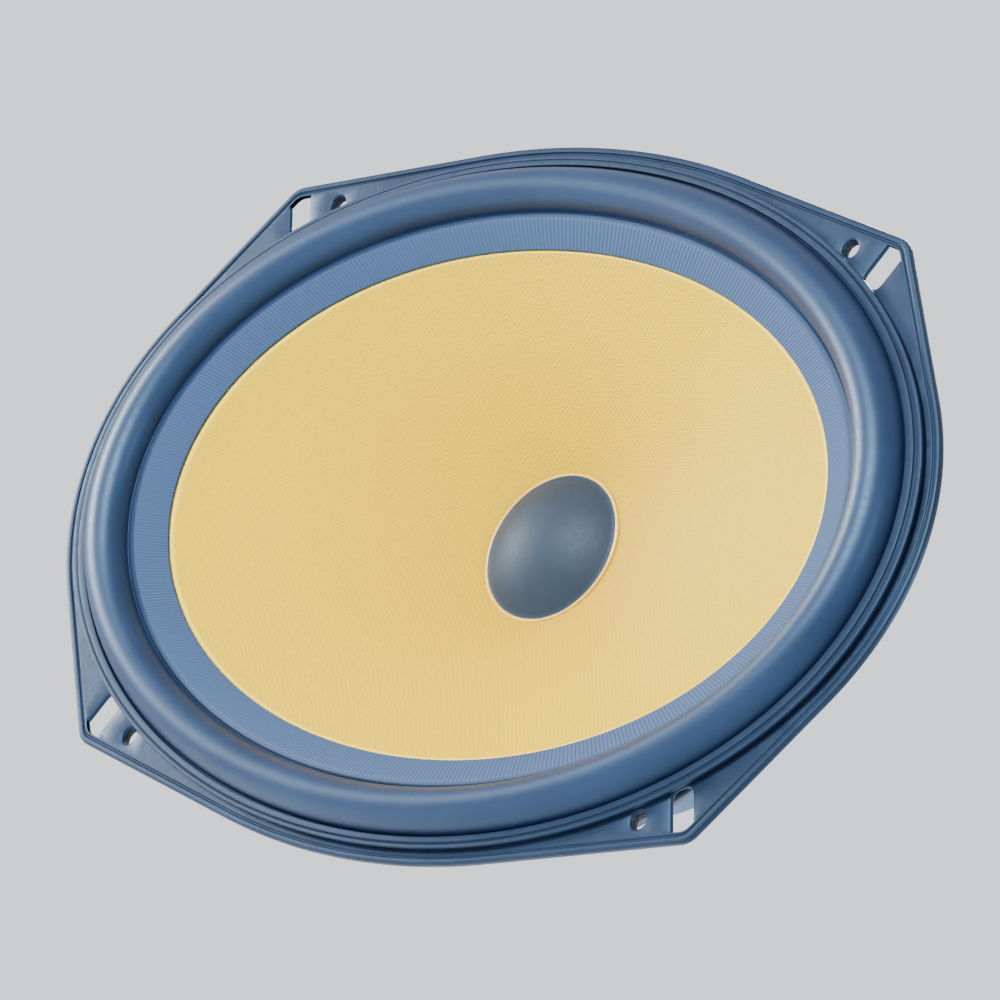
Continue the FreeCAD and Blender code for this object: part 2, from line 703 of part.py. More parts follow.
def main():
    os.makedirs("parts", exist_ok=True)
    save("basket", basket())
    save("rear_gasket", rear_gasket())
    save("front_gasket", front_gasket())
    save("surround", surround())
    save("cone", cone())
    save("dust_cap", dust_cap())
    save("voice_coil_former", voice_coil_former())
    save("voice_coil_winding", voice_coil_winding())
    save("former_collar", former_collar())
    save("spider", spider())
    save("top_plate", top_plate())
    save("top_plate_stakes", stakes())
    save("magnet", magnet())
    save("back_plate", back_plate())
    save("pole_piece", pole_piece())
    save("rear_badge", rear_badge())
    save("badge_emblem", badge_emblem())
    save("terminal_board", terminal_board())
    save("terminal_positive", terminal(1, POSITIVE_WIDE))
    save("terminal_negative", terminal(-1, NEGATIVE_WIDE))
    save("terminal_rivets", terminal_rivets())
    save("board_rivet", board_rivet())
    for name, side in (("positive", 1), ("negative", -1)):
        save("lead_pad_" + name, lead_pad(side))
        save("tinsel_lead_" + name, tinsel_lead(side))


main()
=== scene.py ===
import math

import bmesh
import bpy
import numpy as np
from mathutils import Matrix, Vector
from mathutils.geometry import delaunay_2d_cdt


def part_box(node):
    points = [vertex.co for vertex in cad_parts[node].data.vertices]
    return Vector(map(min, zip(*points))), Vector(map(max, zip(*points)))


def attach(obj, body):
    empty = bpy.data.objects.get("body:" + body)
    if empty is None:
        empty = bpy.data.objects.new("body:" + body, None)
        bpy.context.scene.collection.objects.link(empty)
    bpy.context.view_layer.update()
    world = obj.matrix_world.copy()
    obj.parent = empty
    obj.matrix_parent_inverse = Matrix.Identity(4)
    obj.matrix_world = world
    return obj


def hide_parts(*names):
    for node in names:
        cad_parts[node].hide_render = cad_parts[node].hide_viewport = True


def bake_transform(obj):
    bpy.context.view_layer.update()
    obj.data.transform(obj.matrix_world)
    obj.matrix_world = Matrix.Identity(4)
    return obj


# Looks for the oval car woofer. Shapes are worked out in millimetres in the part's own axes:
# X along the oval, Y across it, Z out of the cone. row() turns them into the frame's metres.

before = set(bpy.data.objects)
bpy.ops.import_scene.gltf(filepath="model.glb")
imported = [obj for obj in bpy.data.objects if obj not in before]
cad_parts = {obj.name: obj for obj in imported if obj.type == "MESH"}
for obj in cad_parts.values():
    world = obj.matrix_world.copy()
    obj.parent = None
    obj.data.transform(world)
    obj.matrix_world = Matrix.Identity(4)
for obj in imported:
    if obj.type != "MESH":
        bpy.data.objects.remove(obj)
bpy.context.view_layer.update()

MM = 0.001
TAU = 2 * math.pi
SEGMENTS = 320                  # round the ovals
ROUND = 144                     # round the turned parts
EASE_STEPS = 4
EDGE_STEPS = 5
TINY = 1e-9


def span(node):
    """Half length, half width, front and rear height of a CAD node, in millimetres."""
    low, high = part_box(node)
    return (high.x - low.x) / 2 / MM, (high.z - low.z) / 2 / MM, -low.y / MM, -high.y / MM


# Sizes read from the frame
FLANGE_LONG, FLANGE_SHORT, FRONT, BASE = span("basket")
GASKET_LONG, GASKET_SHORT, GASKET_HIGH, GASKET_LOW = span("front_gasket")
EDGE_LONG, EDGE_SHORT = span("surround")[:2]
CONE_LONG, CONE_SHORT, CONE_RIM, CONE_LOW = span("cone")
CAP_R, _, CAP_TOP, CAP_LOW = span("dust_cap")
FORMER_R, _, FORMER_TOP, FORMER_LOW = span("voice_coil_former")
COIL_R, _, COIL_TOP, COIL_LOW = span("voice_coil_winding")
COLLAR_R, _, COLLAR_TOP, COLLAR_LOW = span("former_collar")
SPIDER_R, _, SPIDER_TOP, SPIDER_LOW = span("spider")
PLATE_R, _, _, PLATE_LOW = span("top_plate")
MAGNET_R, _, MAGNET_TOP, MAGNET_LOW = span("magnet")
BACK_R, _, _, BACK_LOW = span("back_plate")
POLE_R, _, POLE_TOP, POLE_LOW = span("pole_piece")
BADGE_R, _, BADGE_TOP, BADGE_LOW = span("rear_badge")
EMBLEM_R, _, EMBLEM_TOP, EMBLEM_LOW = span("badge_emblem")
FOAM_LONG, FOAM_SHORT, FOAM_TOP, _ = span("rear_gasket")
BOARD_WIDE, BOARD_LONG, BOARD_TOP, BOARD_LOW = span("terminal_board")
BOARD_X = sum(corner.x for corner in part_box("terminal_board")) / 2 / MM
EMBLEM_Y = sum(corner.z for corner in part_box("badge_emblem")) / 2 / MM
PAD_TOP, PAD_LOW = span("lead_pad_positive")[2:]
PAD_X = sum(corner.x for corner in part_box("lead_pad_positive")) / 2 / MM
PAD_Y = sum(corner.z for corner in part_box("lead_pad_positive")) / 2 / MM

# Flange
SHEET = 1.2
PLATE_INSET = 2.4
EAR_X, EAR_Y, EAR_R = 83.0, 61.2, 5.5
SLOT_X, SLOT_Y, SLOT_TILT = 82.6, 60.2, 66.0
SLOT_WIDE, SLOT_LONG, SLOT_CORNER = 5.1, 10.8, 2.2
HOLE_X, HOLE_Y, HOLE_R = 72.4, 63.2, 1.85
RIM_LINE = [
    (2.4, 3.0), (2.0, 3.0), (1.75, 2.7), (1.5, 2.7), (1.3, 3.05), (0.9, 3.1), (0.0, 3.0),
    (0.0, 1.5), (1.3, 1.5), (1.3, 1.8), (2.4, 1.8),
]
RIM_EASE = [0, 0.15, 0.1, 0.1, 0.15, 0.3, 0.8, 0.4, 0.1, 0.1, 0]

# Basket wall, as (half length, half width, height)
OPENING = (107.0, 71.2)
WALL_FOOT, SHOULDER = (105.6, 69.9, -6.0), (102.5, 67.8, -9.5)
WALL_END = (66.0, 64.0, -36.4)
SHELF_R, SHELF_Z, SHELF_LIP = 61.2, -40.2, (63.2, 63.2, -39.0)
DOME_TOP_R, DOME_END_R, DOME_BULGE = 57.6, 45.0, 1.6
BASKET_BORE = 19.5
WALL_R = 80.0                   # radius at which angles are laid out flat
WALL_START = math.radians(61.0)  # where the flat layout starts, clear of every window
LONG_WINDOW = [(0.09, 21.5), (0.89, 24.5)]
CORNER_WINDOW = [(0.16, 4.6), (0.85, 7.8)]
END_WINDOW = [(0.38, 20.0), (0.54, 26.5), (0.88, 22.0)]
CRESCENT = [(0.03, 11.3), (0.27, 9.0)]
CORNER_ANGLE, CRESCENT_ANGLE = 48.6, 14.7
TAB_ROOT, TAB_END, TAB_HALF, TAB_Z = 67.5, 82.1, 4.6, -33.6
TAB_HOLE_X, TAB_HOLE_R = 77.0, 1.9

# Surround and cone
FOAM_LOBE_R, FOAM_INSET = 5.5, 1.6
RUBBER = 0.8
ROLL_OUT, ROLL_IN = (109.8, 75.5), (98.6, 65.4)
ROLL_FOOT, ROLL_RISE, ROLL_STEPS = 3.8, 5.6, 22
LIP, LIP_Z = (96.9, 64.1), 4.3
CONE_EDGE, CONE_EDGE_Z = (89.46, 57.84), 0.9
NECK_R, NECK_Z = 16.3, -22.6
PAPER = 0.9

# Suspension and motor
SPIDER_FLAT_IN, SPIDER_FLAT_OUT, SPIDER_WAVES = 19.5, 54.0, 6
CLOTH = 0.5
PLATE_BORE, MAGNET_BORE, POLE_VENT = 16.7, 22.0, 5.0
STAKE_CIRCLE, STAKE_R, STAKE_HEAD_R = 30.0, 2.4, 3.6
CHAMFER_WIDE, CHAMFER_DEEP = 2.7, 2.9
RIVET_R, RIVET_HEAD_R, PIN_Y = 1.2, 2.0, 11.4
LEAD_R = 0.8
LEAD_DROP, LEAD_SAG_Z, LEAD_HUMP = 8.0, -31.5, 6.4


# -------- shapes


def row(points):
    """Millimetres in the part's axes, as metres in the frame."""
    p = np.asarray(points, float) * MM
    return np.stack([p[..., 0], -p[..., 2], p[..., 1]], -1)


def unit(vectors):
    return vectors / np.maximum(np.linalg.norm(vectors, axis=-1, keepdims=True), TINY)


def joined(*shapes):
    """Several (points, faces) as one."""
    points, faces, base = [], [], 0
    for some, these in shapes:
        points.append(some)
        faces += [tuple(i + base for i in face) for face in these]
        base += len(some)
    return np.concatenate(points), faces


def moved(shape, x=0.0, y=0.0, z=0.0):
    return shape[0] + (x, y, z), shape[1]


def rings(loops, closed=True):
    """Four-sided faces between one loop of points and the next."""
    loops = np.asarray(loops, float)
    rows, count = loops.shape[:2]
    faces = []
    for i in range(rows if closed else rows - 1):
        here, there = i * count, (i + 1) % rows * count
        for j in range(count):
            k = (j + 1) % count
            faces.append((here + j, here + k, there + k, there + j))
    return loops.reshape(-1, 3), faces


def oval(sections, count=SEGMENTS):
    """A solid ring from its closed list of (half length, half width, height)."""
    turn = np.arange(count) * TAU / count
    s = np.asarray(sections, float)[:, :, None]
    loops = np.stack([s[:, 0] * np.cos(turn), s[:, 1] * np.sin(turn), s[:, 2] + 0 * turn], -1)
    return rings(loops)


def lathe(profile, count=ROUND):
    """A turned solid from its closed list of (radius, height)."""
    return oval([(r, r, z) for r, z in profile], count)


def eased(points, reach, closed=True):
    """The outline with its corners rounded, each starting that far from the corner."""
    points = np.asarray(points, float)
    reach = np.broadcast_to(reach, len(points))
    found = []
    for i, corner in enumerate(points):
        end = not closed and i in (0, len(points) - 1)
        if end or reach[i] == 0:
            found.append(corner)
            continue
        legs = []
        for other in (points[i - 1], points[(i + 1) % len(points)]):
            way = other - corner
            legs.append(corner + way * min(reach[i] / np.linalg.norm(way), 0.5))
        for t in np.linspace(0, 1, EASE_STEPS + 1):
            found.append(legs[0] * (1 - t) ** 2 + 2 * t * (1 - t) * corner + legs[1] * t * t)
    return np.array(found)


def dense(loop, step):
    """The closed outline with no run longer than a step."""
    found = []
    for here, there in zip(loop, np.roll(loop, -1, 0)):
        parts = max(1, math.ceil(np.linalg.norm(there - here) / step))
        found += [here + (there - here) * k / parts for k in range(parts)]
    return np.array(found)


def circle(radius, x=0.0, y=0.0, count=32):
    turn = np.arange(count) * TAU / count
    return np.stack([x + radius * np.cos(turn), y + radius * np.sin(turn)], -1)


def ellipse(long, short, count=SEGMENTS):
    turn = np.arange(count) * TAU / count
    return np.stack([long * np.cos(turn), short * np.sin(turn)], -1)


def inside(points, loop):
    """Which points lie inside a closed outline."""
    x, y = points[:, 0, None], points[:, 1, None]
    after = np.roll(loop, -1, 0)
    rise = after[:, 1] - loop[:, 1]
    at = loop[:, 0] + (after[:, 0] - loop[:, 0]) * (y - loop[:, 1]) / np.where(rise == 0, 1, rise)
    crossed = (loop[:, 1] > y) != (after[:, 1] > y)
    return ((x < at) & crossed).sum(1) % 2 == 1


def region(outer, holes, fill, clear):
    """Flat triangles over an outline with holes. Fill points keep clear of the edges."""
    edge_points = np.concatenate([outer, *holes])
    gap = np.array([np.hypot(*(edge_points - p).T).min() for p in fill]) if len(fill) else 0
    keep = (gap > clear) & inside(fill, outer) if len(fill) else []
    for hole in holes:
        keep = keep & ~inside(fill, hole)
    points = np.concatenate([edge_points, fill[keep]]) if len(fill) else edge_points
    edges, base = [], 0
    for loop in (outer, *holes):
        edges += [(base + i, base + (i + 1) % len(loop)) for i in range(len(loop))]
        base += len(loop)
    made = delaunay_2d_cdt([Vector(p) for p in points], edges, [], 0, 1e-5)
    flat = np.array([tuple(v) for v in made[0]])
    faces = np.array([face for face in made[2] if len(face) == 3])
    middle = flat[faces].mean(1)
    good = inside(middle, outer)
    for hole in holes:
        good = good & ~inside(middle, hole)
    return flat, faces[good]


def shell(flat, faces, place, thick, open_at=None):
    """A sheet of even thickness over flat triangles, round at every edge.

    place() puts flat points on the first face, and the second lies off it along the normal.
    Edges where open_at() holds are left open.
    """
    nudge = 0.05
    points = place(flat)
    across = place(flat + (nudge, 0)) - place(flat - (nudge, 0))
    along = place(flat + (0, nudge)) - place(flat - (0, nudge))
    normal = unit(np.cross(across, along))
    _, first, same = np.unique(np.round(points, 3), axis=0, return_index=True, return_inverse=True)
    same = same.reshape(-1)
    points, normal, flat, faces = points[first], normal[first], flat[first], same[faces]
    faces = faces[(faces[:, 0] != faces[:, 1]) & (faces[:, 1] != faces[:, 2])]
    count = len(points)
    second = points + normal * thick
    directed = {(f[i], f[(i + 1) % 3]) for f in faces.tolist() for i in range(3)}
    rim = [(a, b) for a, b in directed if (b, a) not in directed]
    if open_at is not None:
        skipped = open_at(flat)
        rim = [(a, b) for a, b in rim if not (skipped[a] and skipped[b])]
    rim.sort()
    after = dict(rim)
    before = {b: a for a, b in rim}
    index = np.array(sorted(after))
    ahead = points[[after[i] for i in index]]
    behind = points[[before.get(i, i) for i in index]]
    away = unit(np.cross(ahead - behind, normal[index]))
    middle = (points[index] + second[index]) / 2
    layers = [index.tolist()]
    extra = []
    for k in range(1, EDGE_STEPS):
        turn = math.pi * k / EDGE_STEPS
        swing = -math.cos(turn) * normal[index] + math.sin(turn) * away
        layers.append(list(range(2 * count + len(extra), 2 * count + len(extra) + len(index))))
        extra += (middle + thick / 2 * swing).tolist()
    layers.append((index + count).tolist())
    where = {v: i for i, v in enumerate(index.tolist())}
    made = [tuple(f) for f in faces[:, ::-1].tolist()]
    made += [tuple(f) for f in (faces + count).tolist()]
    for a, b in rim:
        i, j = where[a], where.get(b)
        if j is not None:
            for low, high in zip(layers, layers[1:]):
                made.append((low[i], low[j], high[j], high[i]))
    return np.concatenate([points, second, np.array(extra).reshape(-1, 3)]), made


def grid(low, high, step):
    x = np.arange(low[0], high[0] + step, step)
    y = np.arange(low[1], high[1] + step, step)
    return np.stack(np.meshgrid(x, y), -1).reshape(-1, 2)


def plate(outer, holes, low, thick, step=4.0, open_at=None):
    """A flat sheet. Its round edges stand half its thickness outside these outlines."""
    fill = grid(outer.min(0), outer.max(0), step)
    flat, faces = region(outer, holes, fill, step * 0.6)

    def place(points):
        return np.column_stack([points, np.full(len(points), low)])
    return shell(flat, faces, place, thick, open_at)


def tube(line, radius, sides, swell=None):
    """A round bar along a smooth line of points. swell(turn, share) changes its radius."""
    line = np.asarray(line, float)
    ahead = unit(np.gradient(line, axis=0))
    side = unit(np.cross(ahead[0], (0.3, 0.2, 0.9)))
    turn = np.arange(sides) * TAU / sides
    loops = []
    for i, (point, way) in enumerate(zip(line, ahead)):
        side = unit(side - way * (side @ way))
        over = np.cross(way, side)
        r = radius * (swell(turn, i / (len(line) - 1)) if swell else np.ones(sides))
        loops.append(point + (r * np.cos(turn))[:, None] * side + (r * np.sin(turn))[:, None] * over)
    cap_in, cap_out = [np.repeat(line[[k]], sides, 0) for k in (0, -1)]
    return rings([cap_in, *loops, cap_out], closed=False)


def piece(name, shape, look, body="frame", nodes=()):
    """One object of the model, in place, with its finish and its body."""
    mesh = bpy.data.meshes.new(name)
    mesh.from_pydata(row(shape[0]).tolist(), [], shape[1])
    work = bmesh.new()
    work.from_mesh(mesh)
    bmesh.ops.remove_doubles(work, verts=work.verts, dist=MM * MM)
    bmesh.ops.recalc_face_normals(work, faces=work.faces)
    work.to_mesh(mesh)
    work.free()
    mesh.shade_smooth()
    mesh.materials.append(look)
    made = bpy.data.objects.new(name, mesh)
    bpy.context.scene.collection.objects.link(made)
    if nodes:
        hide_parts(*nodes)
    if body:
        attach(made, body)
    return made


def bend(made):
    """Bakes the piece's placement into its points."""
    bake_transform(made)


def local(made):
    """A piece's points, back in millimetres in the part's axes."""
    p = np.array([v.co for v in made.data.vertices]) / MM
    return np.stack([p[:, 0], p[:, 2], -p[:, 1]], -1)


# -------- finishes

SLATE_SHINE = (0.36, 0.66, 1.0, 1)      # the cool reflection of every dark part


class Look:
    """One material, built round its main shader, with object coordinates in metres."""

    def __init__(self, name, **sockets):
        self.material = bpy.data.materials.new(name)
        self.material.use_nodes = True
        self.tree = self.material.node_tree
        self.shader = self.tree.nodes["Principled BSDF"]
        for socket, value in sockets.items():
            self.shader.inputs[socket.replace("_", " ")].default_value = value
        self.place = self.add("ShaderNodeTexCoord").outputs["Object"]
        self.height = None

    def add(self, kind, *values, **settings):
        """A node with its settings, and its inputs set or linked in order."""
        node = self.tree.nodes.new(kind)
        for key, value in settings.items():
            setattr(node, key, value)
        for socket, value in zip(node.inputs, values):
            self.put(socket, value)
        return node

    def put(self, socket, value):
        if isinstance(value, bpy.types.NodeSocket):
            self.tree.links.new(value, socket)
        elif value is not None:
            socket.default_value = value

    def math(self, operation, *values):
        return self.add("ShaderNodeMath", *values, operation=operation).outputs[0]

    def noise(self, size, detail=2.0, stretch=(1, 1, 1)):
        """Soft noise whose features are about this many millimetres wide."""
        scaled = self.add("ShaderNodeVectorMath", self.place, stretch, operation="MULTIPLY")
        node = self.add("ShaderNodeTexNoise")
        self.put(node.inputs["Vector"], scaled.outputs[0])
        self.put(node.inputs["Scale"], 1 / (size * MM))
        self.put(node.inputs["Detail"], detail)
        return node.outputs["Fac"]

    def cells(self, size):
        node = self.add("ShaderNodeTexVoronoi")
        self.put(node.inputs["Vector"], self.place)
        self.put(node.inputs["Scale"], 1 / (size * MM))
        return node.outputs["Distance"]

    def remap(self, value, low, high, to_low=0.0, to_high=1.0):
        return self.add("ShaderNodeMapRange", value, low, high, to_low, to_high).outputs[0]

    def blend(self, share, one, two):
        """A colour between two, each a socket or three numbers."""
        node = self.add("ShaderNodeMix", data_type="RGBA")
        colors = [(*c, 1) if isinstance(c, tuple) else c for c in (one, two)]
        self.put(node.inputs["Factor"], share)
        self.put(node.inputs[6], colors[0])
        self.put(node.inputs[7], colors[1])
        return node.outputs[2]

    def axes(self):
        """Object X, Y and Z, as sockets."""
        return self.add("ShaderNodeSeparateXYZ", self.place).outputs[:3]

    def radius(self, long=1.0, short=1.0):
        """Distance from the axis, with X and Z first divided by an oval's half sides."""
        x, _, z = self.axes()
        x, z = self.math("DIVIDE", x, long), self.math("DIVIDE", z, short)
        squares = self.math("MULTIPLY", x, x), self.math("MULTIPLY", z, z)
        return self.math("SQRT", self.math("ADD", *squares))

    def wave(self, value, pitch):
        """A sine, 0 to 1, that repeats each pitch of the value."""
        turned = self.math("SINE", self.math("MULTIPLY", value, TAU / pitch))
        return self.remap(turned, -1.0, 1.0)

    def color(self, value):
        self.put(self.shader.inputs["Base Color"], value)

    def rough(self, value, low, high):
        self.put(self.shader.inputs["Roughness"], self.remap(value, 0.25, 0.75, low, high))

    def bump(self, height, depth):
        """Relief of this many millimetres, on top of any before it."""
        node = self.add("ShaderNodeBump")
        self.put(node.inputs["Strength"], 1.0)
        self.put(node.inputs["Distance"], depth * MM)
        self.put(node.inputs["Height"], height)
        if self.height is not None:
            self.put(node.inputs["Normal"], self.height)
        self.height = node.outputs["Normal"]
        self.put(self.shader.inputs["Normal"], self.height)


# Plain finishes: dark and light shade, gloss range and relief in mm; then the
# noises behind shade, gloss and relief, or a single one for all three; then further sockets.
FINISHES = {
    "ring_rubber": ((0.0035, 0.0065, 0.016), (0.007, 0.013, 0.031), (0.36, 0.54), 0.02,
        [(9.0, 4.0), (2.0, 4.0), (0.35, 3.0)], dict(Specular_Tint=SLATE_SHINE, Specular_IOR_Level=0.25)),
    "cap_polymer": ((0.011, 0.017, 0.026), (0.017, 0.025, 0.037), (0.44, 0.56), 0.025,
        [(5.0, 4.0), (1.0, 4.0), (0.4, 3.0)],
        dict(Specular_Tint=(0.6, 0.82, 1.0, 1), Specular_IOR_Level=0.15)),
    "former_foil": ((0.62, 0.63, 0.66), (0.86, 0.87, 0.89), (0.22, 0.36), 0.01,
        [(0.4, 3.0, (0.2, 4.0, 0.2))], dict(Metallic=1.0)),
    "coil_copper": ((0.58, 0.22, 0.08), (0.8, 0.4, 0.18), (0.22, 0.36), 0.01,
        [(1.5, 3.0), (0.6,), (0.3,)], dict(Metallic=1.0, Coat_Weight=0.5)),
    "collar_paper": ((0.2, 0.12, 0.06), (0.34, 0.22, 0.12), (0.78, 0.92), 0.04,
        [(0.8, 5.0, (1.0, 0.3, 1.0))], {}),
    "stake_steel": ((0.4, 0.42, 0.46), (0.62, 0.64, 0.67), (0.32, 0.52), 0.06,
        [(1.4, 4.0), (0.8,), (0.9, 3.0)], dict(Metallic=1.0)),
    "badge_plastic": ((0.012, 0.02, 0.04), (0.021, 0.034, 0.062), (0.3, 0.46), 0.015,
        [(6.0, 4.0), (0.9, 4.0), (0.4, 3.0)], dict(Specular_Tint=SLATE_SHINE)),
    "emblem_metal": ((0.24, 0.28, 0.34), (0.36, 0.4, 0.46), (0.26, 0.42), 0.012,
        [(0.3, 3.0, (0.08, 1.0, 1.0))], dict(Metallic=1.0)),
    "board_laminate": ((0.01, 0.011, 0.014), (0.024, 0.027, 0.034), (0.45, 0.65), 0.03,
        [(0.5, 4.0, (1.0, 1.0, 4.0))], {}),
    "terminal_plated": ((0.42, 0.42, 0.42), (0.56, 0.56, 0.55), (0.16, 0.32), 0.01,
        [(0.5, 4.0, (1.0, 1.0, 0.15))], dict(Metallic=1.0)),
    "rivet_brass": ((0.62, 0.46, 0.2), (0.84, 0.69, 0.4), (0.22, 0.38), 0.02,
        [(0.9, 4.0), (0.5,), (0.4, 3.0)], dict(Metallic=1.0)),
    "rivet_steel": ((0.48, 0.5, 0.54), (0.7, 0.72, 0.74), (0.26, 0.42), 0.03,
        [(0.9, 4.0), (0.5,), (0.5, 3.0)], dict(Metallic=1.0)),
    "solder": ((0.5, 0.51, 0.53), (0.78, 0.79, 0.8), (0.22, 0.48), 0.06,
        [(0.7, 4.0), (0.4,), (0.6, 3.0)], dict(Metallic=1.0)),
    "tinsel_braid": ((0.4, 0.2, 0.08), (0.82, 0.56, 0.32), (0.32, 0.56), 0.05,
        [(0.25, 3.0)], dict(Metallic=0.8)),
    # Glue colour; its dark golden also stands for the shade round the cap, as painted shade.
    "glue_and_shade": ((0.4, 0.21, 0.02), (0.62, 0.38, 0.05), (0.16, 0.34), 0.12,
        [(1.2, 4.0), (1.5,), (1.8, 2.0)], {}),
}


def finish(name):
    """A material whose shade, gloss and relief follow soft noise."""
    dark, light, gloss, relief, noises, sockets = FINISHES[name]
    look = Look(name, **sockets)
    shade = look.noise(*noises[0])
    look.color(look.blend(shade, dark, light))
    satin = shade if len(noises) == 1 else look.noise(*noises[1])
    look.rough(satin, *gloss)
    look.bump(shade if len(noises) == 1 else look.noise(*noises[2]), relief)
    return look.material


def basket_paint():
    look = Look("basket_paint", Specular_Tint=SLATE_SHINE, Specular_IOR_Level=0.25)
    patches = look.noise(22.0, 3.0)
    fine = look.noise(0.5, 3.0)
    base = look.blend(look.remap(patches, 0.3, 0.7), (0.0035, 0.0068, 0.017), (0.0065, 0.0122, 0.03))
    specks = look.remap(look.cells(1.1), 0.0, 0.12, 1.0, 0.0)
    look.color(look.blend(look.math("MULTIPLY", specks, 0.35), base, (0.035, 0.05, 0.085)))
    look.rough(look.noise(6.0, 4.0), 0.36, 0.5)
    look.bump(look.noise(1.6, 2.0), 0.03)
    look.bump(fine, 0.012)
    return look.material


def foam():
    look = Look("foam")
    pores = look.cells(0.7)
    look.color(look.blend(look.remap(pores, 0.1, 0.6), (0.006, 0.007, 0.01), (0.024, 0.029, 0.038)))
    look.rough(look.noise(3.0), 0.85, 1.0)
    look.bump(pores, 0.25)
    return look.material


def surround_rubber():
    look = Look("surround_rubber", Specular_Tint=SLATE_SHINE, Specular_IOR_Level=0.35)
    roll = look.blend(look.noise(14.0, 4.0), (0.0048, 0.0095, 0.026), (0.009, 0.018, 0.046))
    reach = look.radius(LIP[0] * MM, LIP[1] * MM)
    band = look.remap(reach, 0.995, 1.0, 1.0, 0.0)
    x, _, z = look.axes()
    turn = look.math("ARCTAN2", look.math("MULTIPLY", z, LIP[0] / LIP[1]), x)
    ribs = look.wave(turn, TAU / 540)
    dusty = look.blend(look.math("MULTIPLY", ribs, 0.6), (0.017, 0.032, 0.07), (0.03, 0.052, 0.112))
    look.color(look.blend(band, roll, dusty))
    grain = look.noise(1.2, 4.0)
    satin = look.remap(grain, 0.25, 0.75, 0.38, 0.48)
    look.put(look.shader.inputs["Roughness"], look.math("MAXIMUM", satin, look.math("MULTIPLY", band, 0.7)))
    look.bump(look.math("MULTIPLY", ribs, band), 0.07)
    look.bump(grain, 0.02)
    return look.material


def cone_yellow():
    look = Look("cone_yellow", Specular_Tint=(1, 0.7, 0.1, 1), Specular_IOR_Level=0.1)
    from_axis = look.radius(CONE_EDGE[0] * MM, CONE_EDGE[1] * MM)
    # Painted shade: the cone turns a darker, browner yellow towards the cap.
    painted_centre_shade = look.remap(from_axis, 0.18, 0.75)
    base = look.blend(painted_centre_shade, (0.38, 0.22, 0.0), (0.46, 0.295, 0.0))
    cloud = look.noise(30.0, 3.0)
    base = look.blend(look.math("MULTIPLY", cloud, 0.35), base, (0.49, 0.33, 0.0))
    speck = look.remap(look.noise(0.55, 4.0), 0.34, 0.66)
    base = look.blend(look.math("MULTIPLY", speck, 0.3), base, (0.34, 0.19, 0.0))
    x, _, z = look.axes()
    warp = look.wave(look.math("ADD", x, z), 1.3 * MM)
    weft = look.wave(look.math("SUBTRACT", x, z), 1.3 * MM)
    weave = look.math("MULTIPLY", warp, weft)
    base = look.blend(look.math("MULTIPLY", weave, 0.16), base, (0.6, 0.41, 0.01))
    # Painted highlight: a brighter yellow along the rim bead.
    rim = look.remap(from_axis, 0.982, 0.99)
    look.color(look.blend(rim, base, (0.62, 0.44, 0.03)))
    look.rough(look.noise(1.0, 4.0), 0.42, 0.6)
    look.bump(weave, 0.09)
    look.bump(speck, 0.05)
    return look.material


def spider_cloth():
    look = Look("spider_cloth", Sheen_Weight=0.3)
    x, _, z = look.axes()
    threads = look.math("MAXIMUM", look.wave(x, 0.62 * MM), look.wave(z, 0.62 * MM))
    resin = look.noise(9.0, 4.0)
    base = look.blend(resin, (0.5, 0.33, 0.1), (0.68, 0.5, 0.2))
    look.color(look.blend(look.remap(threads, 0.55, 1.0), (0.3, 0.19, 0.05), base))
    look.rough(resin, 0.62, 0.88)
    look.bump(threads, 0.16)
    return look.material


def plate_steel():
    look = Look("plate_steel", Metallic=1.0)
    blotch = look.noise(7.0, 5.0)
    look.color(look.blend(blotch, (0.4, 0.43, 0.48), (0.6, 0.63, 0.68)))
    look.rough(look.noise(2.5, 4.0), 0.3, 0.46)
    look.bump(look.wave(look.radius(), 0.45 * MM), 0.012)
    return look.material


def ferrite():
    look = Look("ferrite", Specular_Tint=SLATE_SHINE)
    ground = look.noise(0.6, 4.0, (1.0, 7.0, 1.0))
    base = look.blend(look.noise(12.0, 4.0), (0.032, 0.056, 0.115), (0.052, 0.088, 0.17))
    pits = look.remap(look.cells(1.7), 0.0, 0.16, 1.0, 0.0)
    look.color(look.blend(look.math("MULTIPLY", pits, 0.5), base, (0.012, 0.018, 0.03)))
    look.rough(ground, 0.34, 0.52)
    look.bump(ground, 0.025)
    look.bump(look.math("MULTIPLY", pits, -1.0), 0.08)
    return look.material


def bright_plate():
    look = Look("bright_plate", Metallic=1.0)
    cloud = look.noise(10.0, 4.0)
    look.color(look.blend(cloud, (0.42, 0.6, 0.84), (0.56, 0.74, 0.95)))
    look.rough(look.noise(1.5, 5.0), 0.12, 0.26)
    look.bump(look.wave(look.radius(), 0.3 * MM), 0.006)
    return look.material


# -------- basket


def flange_line(inset):
    """Points round the flange's outline, moved inwards: an oval with four ears on it."""
    long, short, radius = FLANGE_LONG - inset, FLANGE_SHORT - inset, EAR_R - inset
    turn = np.linspace(0, TAU / 4, 4001)
    reach = np.hypot(long * np.cos(turn), short * np.sin(turn))
    ear = EAR_X * np.cos(turn) + EAR_Y * np.sin(turn) + radius
    first, last = turn[ear > reach][[0, -1]]

    def on_oval(low, high):
        t = np.linspace(low, high, 44)
        far = np.hypot(long * np.cos(t), short * np.sin(t))
        return np.stack([long ** 2 * np.cos(t) / far, short ** 2 * np.sin(t) / far], -1)

    t = np.linspace(first, last, 14)
    corner = np.stack([EAR_X + radius * np.cos(t), EAR_Y + radius * np.sin(t)], -1)
    end, side = on_oval(0, first), on_oval(last, TAU / 4)
    share = np.linspace(0, 1, 16)[1:-1, None]
    up, back = end[-1] + (corner[0] - end[-1]) * share, corner[-1] + (side[0] - corner[-1]) * share
    quarter = np.concatenate([end, up, corner, back, side])
    half = np.concatenate([quarter, (quarter * (-1, 1))[::-1][1:]])
    return np.concatenate([half, (half * (1, -1))[::-1][1:-1]])


